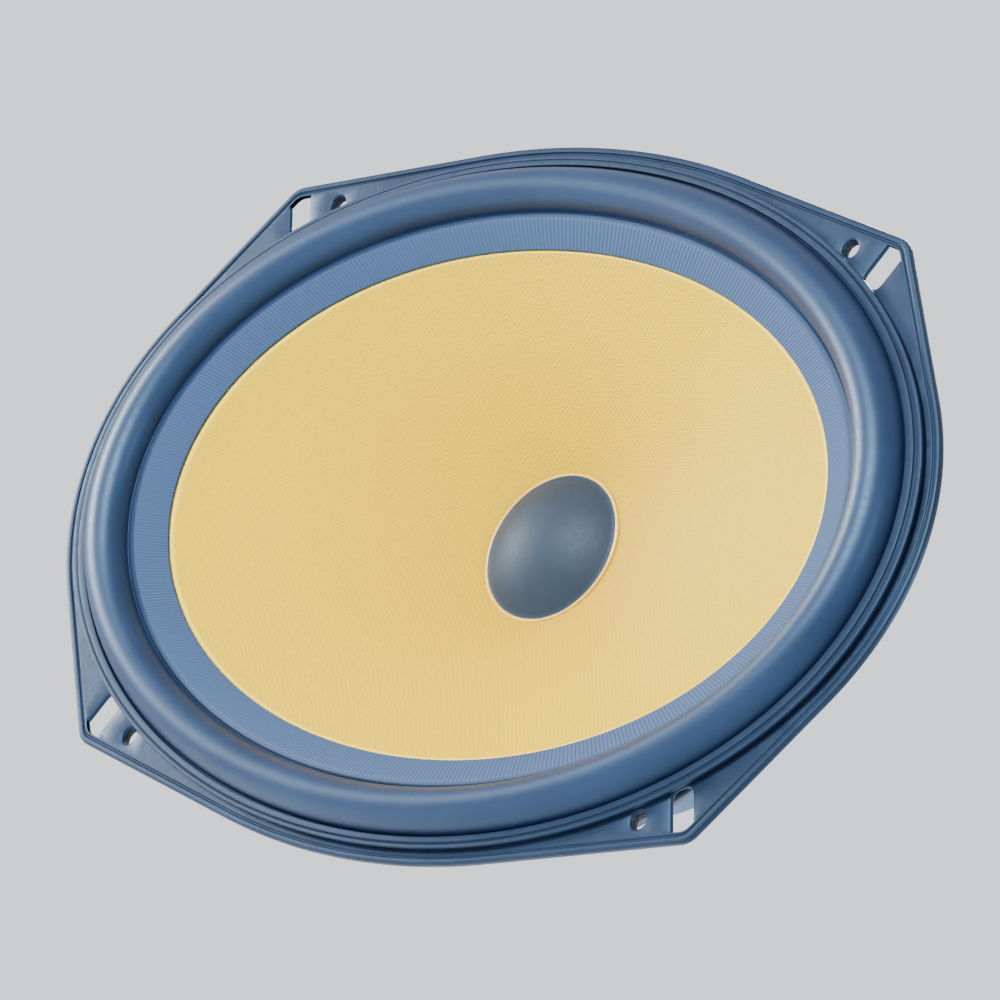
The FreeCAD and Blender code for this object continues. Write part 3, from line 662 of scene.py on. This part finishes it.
def ear_loops(grow):
    """Outlines of the slots and small holes in the ears, made larger all round."""
    found = []
    tilt = math.radians(SLOT_TILT)
    long, wide = SLOT_LONG / 2 + grow, SLOT_WIDE / 2 + grow
    slot = eased([(-long, -wide), (long, -wide), (long, wide), (-long, wide)], SLOT_CORNER + grow)
    turned = np.array([[math.cos(tilt), math.sin(tilt)], [-math.sin(tilt), math.cos(tilt)]])
    slot = dense(slot @ turned, 1.0) + (SLOT_X, SLOT_Y)
    hole = circle(HOLE_R + grow, HOLE_X, HOLE_Y)
    for sx in (-1, 1):
        for sy in (-1, 1):
            found += [slot * (sx, sy), hole * (sx, sy)]
    return found


def flange():
    """The flat plate with its slots and opening, and the rim turned back round it."""
    edge = flange_line(PLATE_INSET)
    corners = {tuple(p) for p in np.round(edge, 4)}

    def on_edge(flat):
        return np.array([tuple(p) in corners for p in np.round(flat, 4)])
    half = SHEET / 2
    holes = ear_loops(half) + [ellipse(OPENING[0] + half, OPENING[1] + half)]
    sheet = plate(edge, holes, FRONT - SHEET, SHEET, open_at=on_edge)
    line = eased(RIM_LINE, RIM_EASE, closed=False)
    loops = [np.column_stack([flange_line(i), np.full(len(edge), z)]) for i, z in line]
    return joined(sheet, rings(loops, closed=False))


def wall_sections():
    """Outer face of the basket from the flange to the bore, with its bends rounded."""
    dome_top, dome_end = np.array((DOME_TOP_R, SHELF_Z)), np.array((DOME_END_R, BASE))
    way = dome_end - dome_top
    out = unit(np.array((-way[1], way[0])))
    dome = [(dome_top + way * t + out * DOME_BULGE * math.sin(math.pi * t)) for t in np.linspace(0, 1, 11)]
    line = [OPENING + (FRONT - SHEET / 2,), WALL_FOOT, SHOULDER, WALL_END, SHELF_LIP]
    line += [(SHELF_R, SHELF_R, SHELF_Z)] + [(r, r, z) for r, z in dome]
    line += [(BASKET_BORE, BASKET_BORE, BASE)]
    ease = [0, 3.0, 4.0, 4.0, 1.2, 1.2, 1.2] + [0] * 9 + [2.2, 0]
    return eased(line, ease, closed=False)


def window_loop(middle, levels, corner, depth_at):
    """One window's outline on the flat layout, with round corners."""
    right = [(middle + half, share) for share, half in levels]
    left = [(middle - half, share) for share, half in reversed(levels)]
    points = []
    for angle, share in left[-1:] + right + left[:-1]:
        turn = (math.radians(angle) - WALL_START) % TAU
        z = SHOULDER[2] + (WALL_END[2] - SHOULDER[2]) * share
        points.append((turn * WALL_R, depth_at(z)))
    return dense(eased(points, corner), 1.4)


def basket_wall():
    """The sloping wall with its windows, the shelf, the dome and the base, as one sheet."""
    sections = wall_sections()
    steps = np.linalg.norm(np.diff(sections, axis=0), axis=1)
    depth = np.concatenate([[0], np.cumsum(steps)])

    def depth_at(z):
        return float(np.interp(-z, -sections[:, 2], depth))

    def place(flat):
        turn = flat[:, 0] / WALL_R + WALL_START
        long, short, z = [np.interp(flat[:, 1], depth, sections[:, i]) for i in range(3)]
        return np.stack([long * np.cos(turn), short * np.sin(turn), z], -1)

    four = [(t, s) for t in (0, 180) for s in (-1, 1)]
    windows = [window_loop(a, LONG_WINDOW, 5.0, depth_at) for a in (90, 270)]
    windows += [window_loop(t + s * CORNER_ANGLE, CORNER_WINDOW, 1.6, depth_at) for t, s in four]
    windows += [window_loop(a, END_WINDOW, 4.0, depth_at) for a in (0, 180)]
    windows += [window_loop(t + s * CRESCENT_ANGLE, CRESCENT, 2.0, depth_at) for t, s in four]
    rows = [0.0]
    for stop in depth[1:]:
        parts = max(1, math.ceil((stop - rows[-1]) / 2.5))
        rows += np.linspace(rows[-1], stop, parts + 1)[1:].tolist()
    rows = np.array(rows)
    across = np.linspace(0, TAU * WALL_R, 260)
    bottom, top = [np.column_stack([across, np.full(len(across), v)]) for v in (rows[0], rows[-1])]
    right, left = [np.column_stack([np.full(len(rows), u), rows]) for u in (across[-1], across[0])]
    outer = np.concatenate([bottom[:-1], right[:-1], top[::-1][:-1], left[::-1][:-1]])
    fill = np.stack(np.meshgrid(across[1:-1], rows[1:-1]), -1).reshape(-1, 2)
    flat, faces = region(outer, windows, fill, 0.45)
    return shell(flat, faces, place, SHEET)


def tab(sign):
    """Flat square-ended tab that reaches into an end window, with its hole."""
    half = SHEET / 2
    wide = TAB_HALF - half
    end = TAB_END - half
    corners = [(TAB_ROOT, -wide), (end, -wide), (end, wide), (TAB_ROOT, wide)]
    line = dense(eased(corners, [0, 0.7, 0.7, 0]), 1.0) * (sign, 1)
    hole = circle(TAB_HOLE_R + half, sign * TAB_HOLE_X)
    return plate(line[::sign], [hole], TAB_Z - SHEET, SHEET, step=3.0)


def basket(look):
    shape = joined(flange(), basket_wall(), tab(-1), tab(1))
    return piece("basket_pressing", shape, look, nodes=["basket"])


def foam_line(inset):
    """Points round the foam: an oval with a lobe round each screw hole, kept inside the rim."""
    edge = flange_line(FOAM_INSET + inset)
    rim = np.linalg.norm(edge, axis=1)
    way = edge / rim[:, None]
    x, y = np.abs(way).T
    reach = 1 / np.hypot(x / (FOAM_LONG - inset), y / (FOAM_SHORT - inset))
    past = (FOAM_LOBE_R - inset) ** 2 - (x * HOLE_Y - y * HOLE_X) ** 2
    lobe = np.where(past > 0, x * HOLE_X + y * HOLE_Y + np.sqrt(np.maximum(past, 0)), 0)
    return way * np.minimum(rim, np.maximum(reach, lobe))[:, None]


def rear_gasket(look):
    """Foam ring on the back of the flange, with lobes for the screws."""
    half = FOAM_TOP / 2
    holes = [ellipse(OPENING[0] + 0.3 + half, OPENING[1] + 0.3 + half)]
    holes += [circle(HOLE_R + half, sx * HOLE_X, sy * HOLE_Y) for sx in (-1, 1) for sy in (-1, 1)]
    shape = plate(dense(foam_line(half), 1.5), holes, 0.0, FOAM_TOP)
    return piece("rear_gasket_foam", shape, look, nodes=["rear_gasket"])


# -------- front ring, surround, cone, cap


def front_gasket(look):
    """Trim ring with one low step and a fine line near its outer edge."""
    inner = (110.4, 76.0)

    def at(inset, z):
        share = inset / (GASKET_LONG - inner[0])
        return (GASKET_LONG - inset, GASKET_SHORT + (inner[1] - GASKET_SHORT) * share, z)
    high, low = GASKET_HIGH, GASKET_LOW
    line = [
        at(0, low), at(0, high - 0.4), at(1.2, high - 0.4), at(1.5, high - 0.6), at(1.8, high - 0.4),
        at(1.95, high), at(4.0, high), at(4.0, low),
    ]
    ease = [0.1, 0.35, 0.15, 0.12, 0.1, 0.25, 0.4, 0.1]
    return piece("front_gasket_ring", oval(eased(line, ease)), look, nodes=["front_gasket"])


def between(share):
    """Half length and half width of the oval at a share of the way across the roll."""
    return [a + (b - a) * share for a, b in zip(ROLL_OUT, ROLL_IN)]


def roll_line(inset):
    """The half-round roll, from its outer root to its inner root."""
    turn = math.pi * np.arange(1, ROLL_STEPS) / ROLL_STEPS
    narrow = 1 - 2 * inset / (ROLL_OUT[0] - ROLL_IN[0])
    found = []
    for share, lift in zip(0.5 - 0.5 * np.cos(turn) * narrow, np.sin(turn)):
        foot = ROLL_FOOT + (LIP_Z - ROLL_FOOT) * share - inset * (1 - lift)
        found.append((*between(share), foot + (ROLL_RISE - inset) * lift))
    return found


def surround(look):
    """Rubber edge: flat rim, half roll, lip and the skirt glued on the cone."""
    top = [(EDGE_LONG, EDGE_SHORT, FRONT), (EDGE_LONG, EDGE_SHORT, FRONT + RUBBER)]
    top += [(*ROLL_OUT, FRONT + RUBBER)] + roll_line(0.0)
    skirt = CONE_EDGE_Z + 0.3
    top += [(*ROLL_IN, LIP_Z), (LIP[0] + 0.9, LIP[1] + 0.7, LIP_Z + 0.55)]
    top += [(LIP[0] - 0.7, LIP[1] - 0.6, LIP_Z + 0.4)]
    top += [(*CONE_EDGE, skirt + 0.45)]
    low = [(*CONE_EDGE, skirt), (*LIP, LIP_Z - RUBBER), (*ROLL_IN, LIP_Z - RUBBER)]
    low += roll_line(RUBBER)[::-1] + [(*ROLL_OUT, FRONT)]
    arc = ROLL_STEPS - 1
    ease = [0.2, 0.2, 1.0] + [0] * arc + [0.4, 0.6, 0.7, 0.2, 0.1, 0.6, 0.8] + [0] * arc + [0.6]
    made = piece("surround_roll", oval(eased(top + low, ease)), look, None, ["surround"])
    bend(made)
    return made


def cone(look):
    """Woven cone with a raised bead at its rim."""
    rim, edge = (CONE_LONG, CONE_SHORT, CONE_RIM), (*CONE_EDGE, CONE_EDGE_Z)
    neck = (NECK_R, NECK_R, NECK_Z)

    def along(share, lift=0.0):
        return tuple(a + (b - a) * share + up for a, b, up in zip(edge, neck, (0, 0, lift)))
    top = [rim, edge, along(0.004, 0.35), along(0.012, 0.4), along(0.02, 0.05)]
    top += [along(t) for t in np.linspace(0.03, 1, 24)] + [(FORMER_R + 0.1, FORMER_R + 0.1, CONE_LOW + 1)]
    low = [(FORMER_R + 0.1, FORMER_R + 0.1, CONE_LOW)] + [along(t, -PAPER) for t in (0.99, 0.5, 0)]
    low += [(CONE_LONG, CONE_SHORT, CONE_RIM - PAPER)]
    shape = oval(eased(top + low, [0.2, 0] + [0.15] * 3 + [0] * 24 + [0.2, 0.2] + [0] * 3 + [0.2]))
    return piece("cone_weave", shape, look, "cone_assembly", ["cone"])


def dust_cap(look):
    """Round dome with a narrow turned edge."""
    rise = CAP_TOP - CAP_LOW
    wall, brim = 0.6, 0.8
    foot = CAP_R - brim
    ball = (foot ** 2 + (rise - 0.5) ** 2) / (2 * (rise - 0.5))
    turn = np.linspace(0, math.asin(foot / ball), 22)
    outer = [(ball * math.sin(t), CAP_TOP - ball + ball * math.cos(t)) for t in turn]
    inner = [((ball - wall) * math.sin(t), CAP_TOP - ball + (ball - wall) * math.cos(t)) for t in turn[::-1]]
    edge = [(CAP_R, CAP_LOW + 0.35), (CAP_R, CAP_LOW)]
    line = outer + edge + inner
    ease = [0] * 21 + [0.5, 0.2, 0.12] + [0] * 22
    return piece("dust_cap_dome", lathe(eased(line, ease)), look, "cone_assembly",
                 ["dust_cap"])


def bead(radius, z, wide, high, waver):
    """A ring of glue whose width wavers."""
    turn = np.arange(ROUND) * TAU / ROUND
    swell = 1 + waver * (np.sin(3 * turn + 1) + 0.6 * np.sin(7 * turn) + 0.4 * np.sin(17 * turn + 2)) / 2
    loops = []
    for t in np.arange(12) * TAU / 12:
        r = radius + wide / 2 * math.cos(t) * swell
        loops.append(np.stack([r * np.cos(turn), r * np.sin(turn), z + high / 2 * math.sin(t) * swell], -1))
    return rings(loops)


def glue(look):
    """Fillets of glue round the cap, the spider and the collar; the dark golden of the one round the cap is
    also painted shade.
    """
    slope = (CONE_EDGE_Z - NECK_Z) / (CONE_EDGE[1] - NECK_R)
    ring = CAP_R + 0.15
    # The cap's glue fillet, also a ring of painted shade round the cap's foot.
    piece("cap_glue_and_shade", bead(ring, NECK_Z + slope * (ring - NECK_R) + 0.1, 0.9, 0.8, 0.16),
          look, "cone_assembly")
    middle = (SPIDER_TOP + SPIDER_LOW) / 2
    piece("spider_rim_glue", bead(SPIDER_R - 1.2, middle + CLOTH / 2, 2.4, 0.8, 0.2), look)
    piece("spider_neck_glue", bead(FORMER_R + 0.9, middle + 0.5, 1.6, 1.2, 0.15),
          look, "cone_assembly")


# -------- suspension and coil


def spider(look):
    """Corrugated cloth disc."""
    middle = (SPIDER_TOP + SPIDER_LOW) / 2
    swing = (SPIDER_TOP - SPIDER_LOW - CLOTH) / 2
    share = np.linspace(0, 1, SPIDER_WAVES * 14 + 1)
    radius = SPIDER_FLAT_IN + (SPIDER_FLAT_OUT - SPIDER_FLAT_IN) * share
    height = middle + swing * np.sin(TAU * SPIDER_WAVES * share)
    line = [(FORMER_R + 0.1, middle), *zip(radius, height), (SPIDER_R, middle)]
    closed = [(r, z + CLOTH / 2) for r, z in line] + [(r, z - CLOTH / 2) for r, z in line[::-1]]
    made = piece("spider_corrugated", lathe(closed), look, None, ["spider"])
    bend(made)
    return made


def winding(look):
    """Enamelled wire, turn beside turn."""
    turns = 32
    pitch = (COIL_TOP - COIL_LOW) / turns
    line = [(FORMER_R + 0.02, COIL_TOP)]
    for k in range(turns):
        for t in np.linspace(0.1, 0.9, 5) * math.pi:
            z = COIL_TOP - pitch * (k + 0.5 - 0.5 * math.cos(t))
            line.append((COIL_R - pitch / 2 * (1 - math.sin(t)), z))
    line.append((FORMER_R + 0.02, COIL_LOW))
    return piece("coil_turns", lathe(line), look, "cone_assembly", ["voice_coil_winding"])


def former(look):
    line = [(FORMER_R, FORMER_LOW), (FORMER_R, FORMER_TOP), (FORMER_R - 0.3, FORMER_TOP),
            (FORMER_R - 0.3, FORMER_LOW)]
    return piece("coil_former", lathe(eased(line, 0.12)), look, "cone_assembly",
                 ["voice_coil_former"])


def collar(look):
    line = [(COLLAR_R, COLLAR_LOW), (COLLAR_R, COLLAR_TOP), (FORMER_R, COLLAR_TOP), (FORMER_R, COLLAR_LOW)]
    return piece("former_sleeve", lathe(eased(line, 0.08)), look, "cone_assembly",
                 ["former_collar"])


def lead_line(side):
    """Smooth route of one lead, from the eyelet on the cone to the terminal."""
    pad_y, pin_y = side * PAD_Y, side * PIN_Y
    pin_z = BOARD_TOP + 0.6
    route = [
        (PAD_X, pad_y, PAD_LOW), (PAD_X, pad_y, PAD_LOW - LEAD_DROP),
        ((PAD_X + BOARD_X) / 2, (pad_y + pin_y) / 2, LEAD_SAG_Z),
        (BOARD_X, pin_y, pin_z + LEAD_HUMP), (BOARD_X, pin_y, pin_z),
    ]
    route = np.array(route)
    ends = [route[0]] + [(a + b) / 2 for a, b in zip(route[1:-2], route[2:-1])] + [route[-1]]
    line = []
    for start, pull, end in zip(ends, route[1:-1], ends[1:]):
        for t in np.linspace(0, 1, 60, endpoint=False):
            line.append(start * (1 - t) ** 2 + 2 * t * (1 - t) * pull + end * t * t)
    return np.array(line + [route[-1]])


def leads(look):
    """Braided leads from the cone to the terminals."""
    def braid(turn, share):
        one, two = np.cos(4 * turn + 520 * share), np.cos(4 * turn - 520 * share)
        return 0.93 + 0.12 * np.maximum(one, two)
    for name, side in (("positive", 1), ("negative", -1)):
        line = lead_line(side)
        shape = tube(line, LEAD_R, 32, braid)
        made = piece("lead_braid_" + name, shape, look, None, ["tinsel_lead_" + name])
        points = local(made)
        nearest = np.array([np.abs(line - p).sum(1).argmin() for p in points]) / (len(line) - 1)
        bend(made)


def lead_pads(look):
    """Solder on the eyelets."""
    high = PAD_TOP - PAD_LOW
    line = [(0, PAD_LOW), (1.3, PAD_LOW + 0.1), (2.1, PAD_LOW + high * 0.5), (2.2, PAD_TOP - 0.2),
            (0, PAD_TOP)]
    for name, side in (("positive", 1), ("negative", -1)):
        shape = moved(lathe(eased(line, [0, 0.4, 0.4, 0.2, 0]), 48), PAD_X, side * PAD_Y)
        piece("solder_pad_" + name, shape, look, "cone_assembly", ["lead_pad_" + name])


# -------- motor


def stake_places():
    turn = [TAU / 8 + TAU / 4 * k for k in range(4)]
    return [(STAKE_CIRCLE * math.cos(t), STAKE_CIRCLE * math.sin(t)) for t in turn]


def top_plate(look):
    line = [(PLATE_BORE, PLATE_LOW), (PLATE_R, PLATE_LOW), (PLATE_R, BASE), (PLATE_BORE, BASE)]
    return piece("top_plate_disc", lathe(eased(line, 0.4)), look, nodes=["top_plate"])


def stakes(look):
    """Stakes headed over inside the basket."""
    floor = BASE + SHEET
    line = [(0, floor + 1.2), (2.2, floor + 1.2), (STAKE_HEAD_R, floor + 0.5), (STAKE_HEAD_R, floor),
            (STAKE_R, floor), (STAKE_R, PLATE_LOW), (0, PLATE_LOW)]
    shape = lathe(eased(line, [0, 0.9, 0.4, 0.15, 0.1, 0.2, 0]), 40)
    shapes = [moved(shape, x, y) for x, y in stake_places()]
    return piece("stake_heads", joined(*shapes), look, nodes=["top_plate_stakes"])


def magnet(look):
    line = [(MAGNET_BORE, MAGNET_LOW), (MAGNET_R, MAGNET_LOW), (MAGNET_R, MAGNET_TOP),
            (MAGNET_BORE, MAGNET_TOP)]
    return piece("magnet_ring", lathe(eased(line, [0.5, 1.1, 1.1, 0.5])), look, nodes=["magnet"])


def back_plate(look):
    """Bright disc with a wide chamfer and a seat for the badge."""
    seat, bore = BADGE_R + 0.3, POLE_R + 0.1
    line = [(bore, MAGNET_LOW), (BACK_R, MAGNET_LOW), (BACK_R, BACK_LOW + CHAMFER_DEEP),
            (BACK_R - CHAMFER_WIDE, BACK_LOW), (seat, BACK_LOW), (seat, BADGE_TOP), (bore, BADGE_TOP)]
    return piece("back_plate_disc", lathe(eased(line, [0.3, 0.5, 1.2, 0.8, 0.25, 0, 0.1])), look,
                 nodes=["back_plate"])


def pole(look):
    line = [(POLE_VENT, POLE_LOW), (POLE_R, POLE_LOW), (POLE_R, POLE_TOP), (POLE_VENT, POLE_TOP)]
    return piece("pole_core", lathe(eased(line, [0.4, 0.2, 0.9, 0.9])), look,
                 nodes=["pole_piece"])


def badge(look):
    """Disc with a bevelled edge, fine grooves and a plain raised band."""
    face = BADGE_LOW
    line = [(0, BADGE_TOP), (BADGE_R, BADGE_TOP), (BADGE_R, face + 0.6), (BADGE_R - 0.6, face)]
    ease = [0, 0.1, 0.2, 0.3]
    for radius in (34.6, 31.0, 30.2, 25.2):
        line += [(radius + 0.35, face), (radius, face + 0.28), (radius - 0.35, face)]
        ease += [0.12, 0.1, 0.12]
    line.append((0, face))
    shape = lathe(eased(line, ease + [0]))
    half, reach = 4.6, 29.4
    end = math.sqrt(reach ** 2 - half ** 2)
    corners = [(-end, -half), (end, -half), (end, half), (-end, half)]
    band = plate(dense(eased(corners, 1.6), 1.5), [], face - 0.22, 0.44)
    return piece("badge_disc", joined(shape, band), look, nodes=["rear_badge"])


def emblem(look):
    """Plain button: a raised ring round a shallow dome."""
    low, high = EMBLEM_LOW, EMBLEM_TOP
    line = [(0, high), (EMBLEM_R, high), (EMBLEM_R, low), (EMBLEM_R - 1.1, low), (EMBLEM_R - 1.5, low + 0.3),
            (3.2, low + 0.22), (1.6, low + 0.1), (0, low + 0.05)]
    shape = moved(lathe(eased(line, [0, 0.1, 0.3, 0.2, 0.2, 0.6, 0.6, 0]), 96), y=EMBLEM_Y)
    return piece("emblem_button", shape, look, nodes=["badge_emblem"])


# -------- terminals


def board(look):
    thick = BOARD_TOP - BOARD_LOW
    ease = thick / 2
    wide, long = BOARD_WIDE - ease, BOARD_LONG - ease
    corners = [(BOARD_X + x * wide, y * long) for x, y in ((-1, -1), (1, -1), (1, 1), (-1, 1))]
    holes = [circle(TAB_HOLE_R + ease, BOARD_X)]
    holes += [circle(RIVET_R + ease, BOARD_X, s * PIN_Y) for s in (-1, 1)]
    shape = plate(dense(eased(corners, 1.5), 1.2), holes, BOARD_LOW, thick, step=2.5)
    return piece("terminal_strip", shape, look, nodes=["terminal_board"])


def blades(look):
    """Push-on blades with a locating hole and a tapered tip."""
    thick, hole_in = 0.8, 3.2
    for name, side in (("positive", 1), ("negative", -1)):
        low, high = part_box("terminal_" + name)
        wide = (high.x - low.x) / 2 / MM - thick / 2
        start, tip = sorted((abs(low.z / MM), abs(high.z / MM)))
        root, end = start + thick / 2, tip - thick / 2
        corners = [(-wide, root), (wide, root), (wide, end - 1.4), (wide - 1.1, end), (1.1 - wide, end),
                   (-wide, end - 1.4)]
        line = dense(eased(corners, [0.4, 0.4, 0.3, 0.3, 0.3, 0.3]), 0.8)
        holes = [circle(0.9 + thick / 2, 0, tip - hole_in, 24), circle(RIVET_R + thick / 2, 0, PIN_Y, 24)]
        place = [(loop * (side, side) + (BOARD_X, 0)) for loop in (line, *holes)]
        shape = plate(place[0], place[1:], BOARD_LOW - thick, thick, step=1.6)
        piece("blade_" + name, shape, look, nodes=["terminal_" + name])


def terminal_rivets(look):
    """Hollow rivets with rolled heads."""
    low, high = BOARD_LOW - 0.8, BOARD_TOP
    line = [(0.5, low - 0.5), (0.9, low - 0.6), (RIVET_HEAD_R, low - 0.5), (RIVET_HEAD_R, low),
            (RIVET_R, low), (RIVET_R, high), (RIVET_HEAD_R, high), (RIVET_HEAD_R, high + 0.5),
            (0.9, high + 0.6), (0.5, high + 0.5)]
    shape = lathe(eased(line, [0.1, 0.3, 0.3, 0.1, 0.05, 0.05, 0.1, 0.3, 0.3, 0.1]), 36)
    shapes = [moved(shape, BOARD_X, s * PIN_Y) for s in (-1, 1)]
    return piece("rivet_pair", joined(*shapes), look, nodes=["terminal_rivets"])


def board_rivet(look):
    head, tall = 3.2, 1.0
    line = [(0, TAB_Z + tall), (1.6, TAB_Z + tall), (head, TAB_Z + 0.4), (head, TAB_Z), (1.8, TAB_Z),
            (1.8, BOARD_LOW), (head, BOARD_LOW), (head, BOARD_LOW - 0.4), (1.6, BOARD_LOW - tall),
            (0, BOARD_LOW - tall)]
    ease = [0, 0.8, 0.4, 0.1, 0.05, 0.05, 0.1, 0.4, 0.8, 0]
    shape = moved(lathe(eased(line, ease), 48), BOARD_X)
    return piece("tab_rivet", shape, look, nodes=["board_rivet"])


# -------- studio


def view_axes(azimuth, elevation, roll):
    """Right, up and back of a camera that looks at the object from that side."""
    a, e, r = (math.radians(v) for v in (azimuth, elevation, roll))
    back = Vector((math.sin(a) * math.cos(e), -math.cos(a) * math.cos(e), math.sin(e)))
    right = Vector((0, 0, 1)).cross(back).normalized()
    up = back.cross(right)
    return right * math.cos(r) + up * math.sin(r), up * math.cos(r) - right * math.sin(r), back


def camera():
    """Three-quarter view from the front, a little from below, rolled as the oval stands."""
    distance, lens = 1.395, 242.0
    right, up, back = view_axes(44.18, -14.56, 20.89)
    centre = Vector((0, -FRONT * MM, 0)) + right * 0.0039 - up * 0.0005
    data = bpy.data.cameras.new("camera")
    data.lens, data.sensor_width = lens, 36.0
    data.clip_start, data.clip_end = 0.1, 20.0
    made = bpy.data.objects.new("camera", data)
    bpy.context.scene.collection.objects.link(made)
    turned = Matrix((right, up, back)).transposed().to_4x4()
    made.matrix_world = Matrix.Translation(centre + back * distance) @ turned
    bpy.context.scene.camera = made
    return right, up, back


def softbox(name, place, size, power, color=(1, 1, 1)):
    """Square lamp that faces the object."""
    data = bpy.data.lights.new(name, "AREA")
    data.shape, data.size, data.energy, data.color = "SQUARE", size, power, color
    made = bpy.data.objects.new(name, data)
    bpy.context.scene.collection.objects.link(made)
    made.location = place
    made.rotation_mode = "QUATERNION"
    made.rotation_quaternion = (-Vector(place)).to_track_quat("-Z", "Y")


def studio(right, up, back):
    world = bpy.data.worlds.new("studio")
    world.use_nodes = True
    shade = world.node_tree.nodes["Background"]
    shade.inputs["Color"].default_value = (0.93, 0.95, 1.0, 1)
    shade.inputs["Strength"].default_value = 1.35
    bpy.context.scene.world = world
    cool = (0.85, 0.93, 1.0)
    softbox("key", right * -0.75 + up * 1.05 + back * 0.75, 0.5, 65.0)
    softbox("low", right * -0.9 + up * -0.8 + back * 0.6, 0.25, 18.0, cool)
    softbox("side", Vector((-1.1, -0.4, 0.2)), 0.35, 26.0, cool)
    softbox("crest", Vector((1.05, -0.84, 0.35)), 0.12, 8.0, cool)
    softbox("rear", Vector((-0.7, 1.1, 0.9)), 0.5, 32.0)
    softbox("rear_fill", Vector((1.0, 0.9, 0.1)), 0.6, 16.0, cool)


def floor():
    look = Look("floor_paint", Roughness=0.8)
    look.color(look.blend(look.noise(400.0, 3.0), (0.78, 0.79, 0.81), (0.82, 0.83, 0.85)))
    look.bump(look.noise(4.0), 0.05)
    mesh = bpy.data.meshes.new("floor")
    reach, height = 30.0, -0.5
    corners = [(x * reach, y * reach, height) for x, y in ((-1, -1), (1, -1), (1, 1), (-1, 1))]
    mesh.from_pydata(corners, [], [(0, 1, 2, 3)])
    mesh.materials.append(look.material)
    made = bpy.data.objects.new("floor", mesh)
    bpy.context.scene.collection.objects.link(made)


def main():
    studio(*camera())
    floor()
    painted, steel, glue_and_shade_look = basket_paint(), plate_steel(), finish("glue_and_shade")
    basket(painted)
    rear_gasket(foam())
    front_gasket(finish("ring_rubber"))
    surround(surround_rubber())
    cone(cone_yellow())
    dust_cap(finish("cap_polymer"))
    glue(glue_and_shade_look)
    spider(spider_cloth())
    winding(finish("coil_copper"))
    former(finish("former_foil"))
    collar(finish("collar_paper"))
    leads(finish("tinsel_braid"))
    lead_pads(finish("solder"))
    top_plate(steel)
    stakes(finish("stake_steel"))
    magnet(ferrite())
    back_plate(bright_plate())
    pole(steel)
    badge(finish("badge_plastic"))
    emblem(finish("emblem_metal"))
    board(finish("board_laminate"))
    blades(finish("terminal_plated"))
    terminal_rivets(finish("rivet_brass"))
    board_rivet(finish("rivet_steel"))


main()
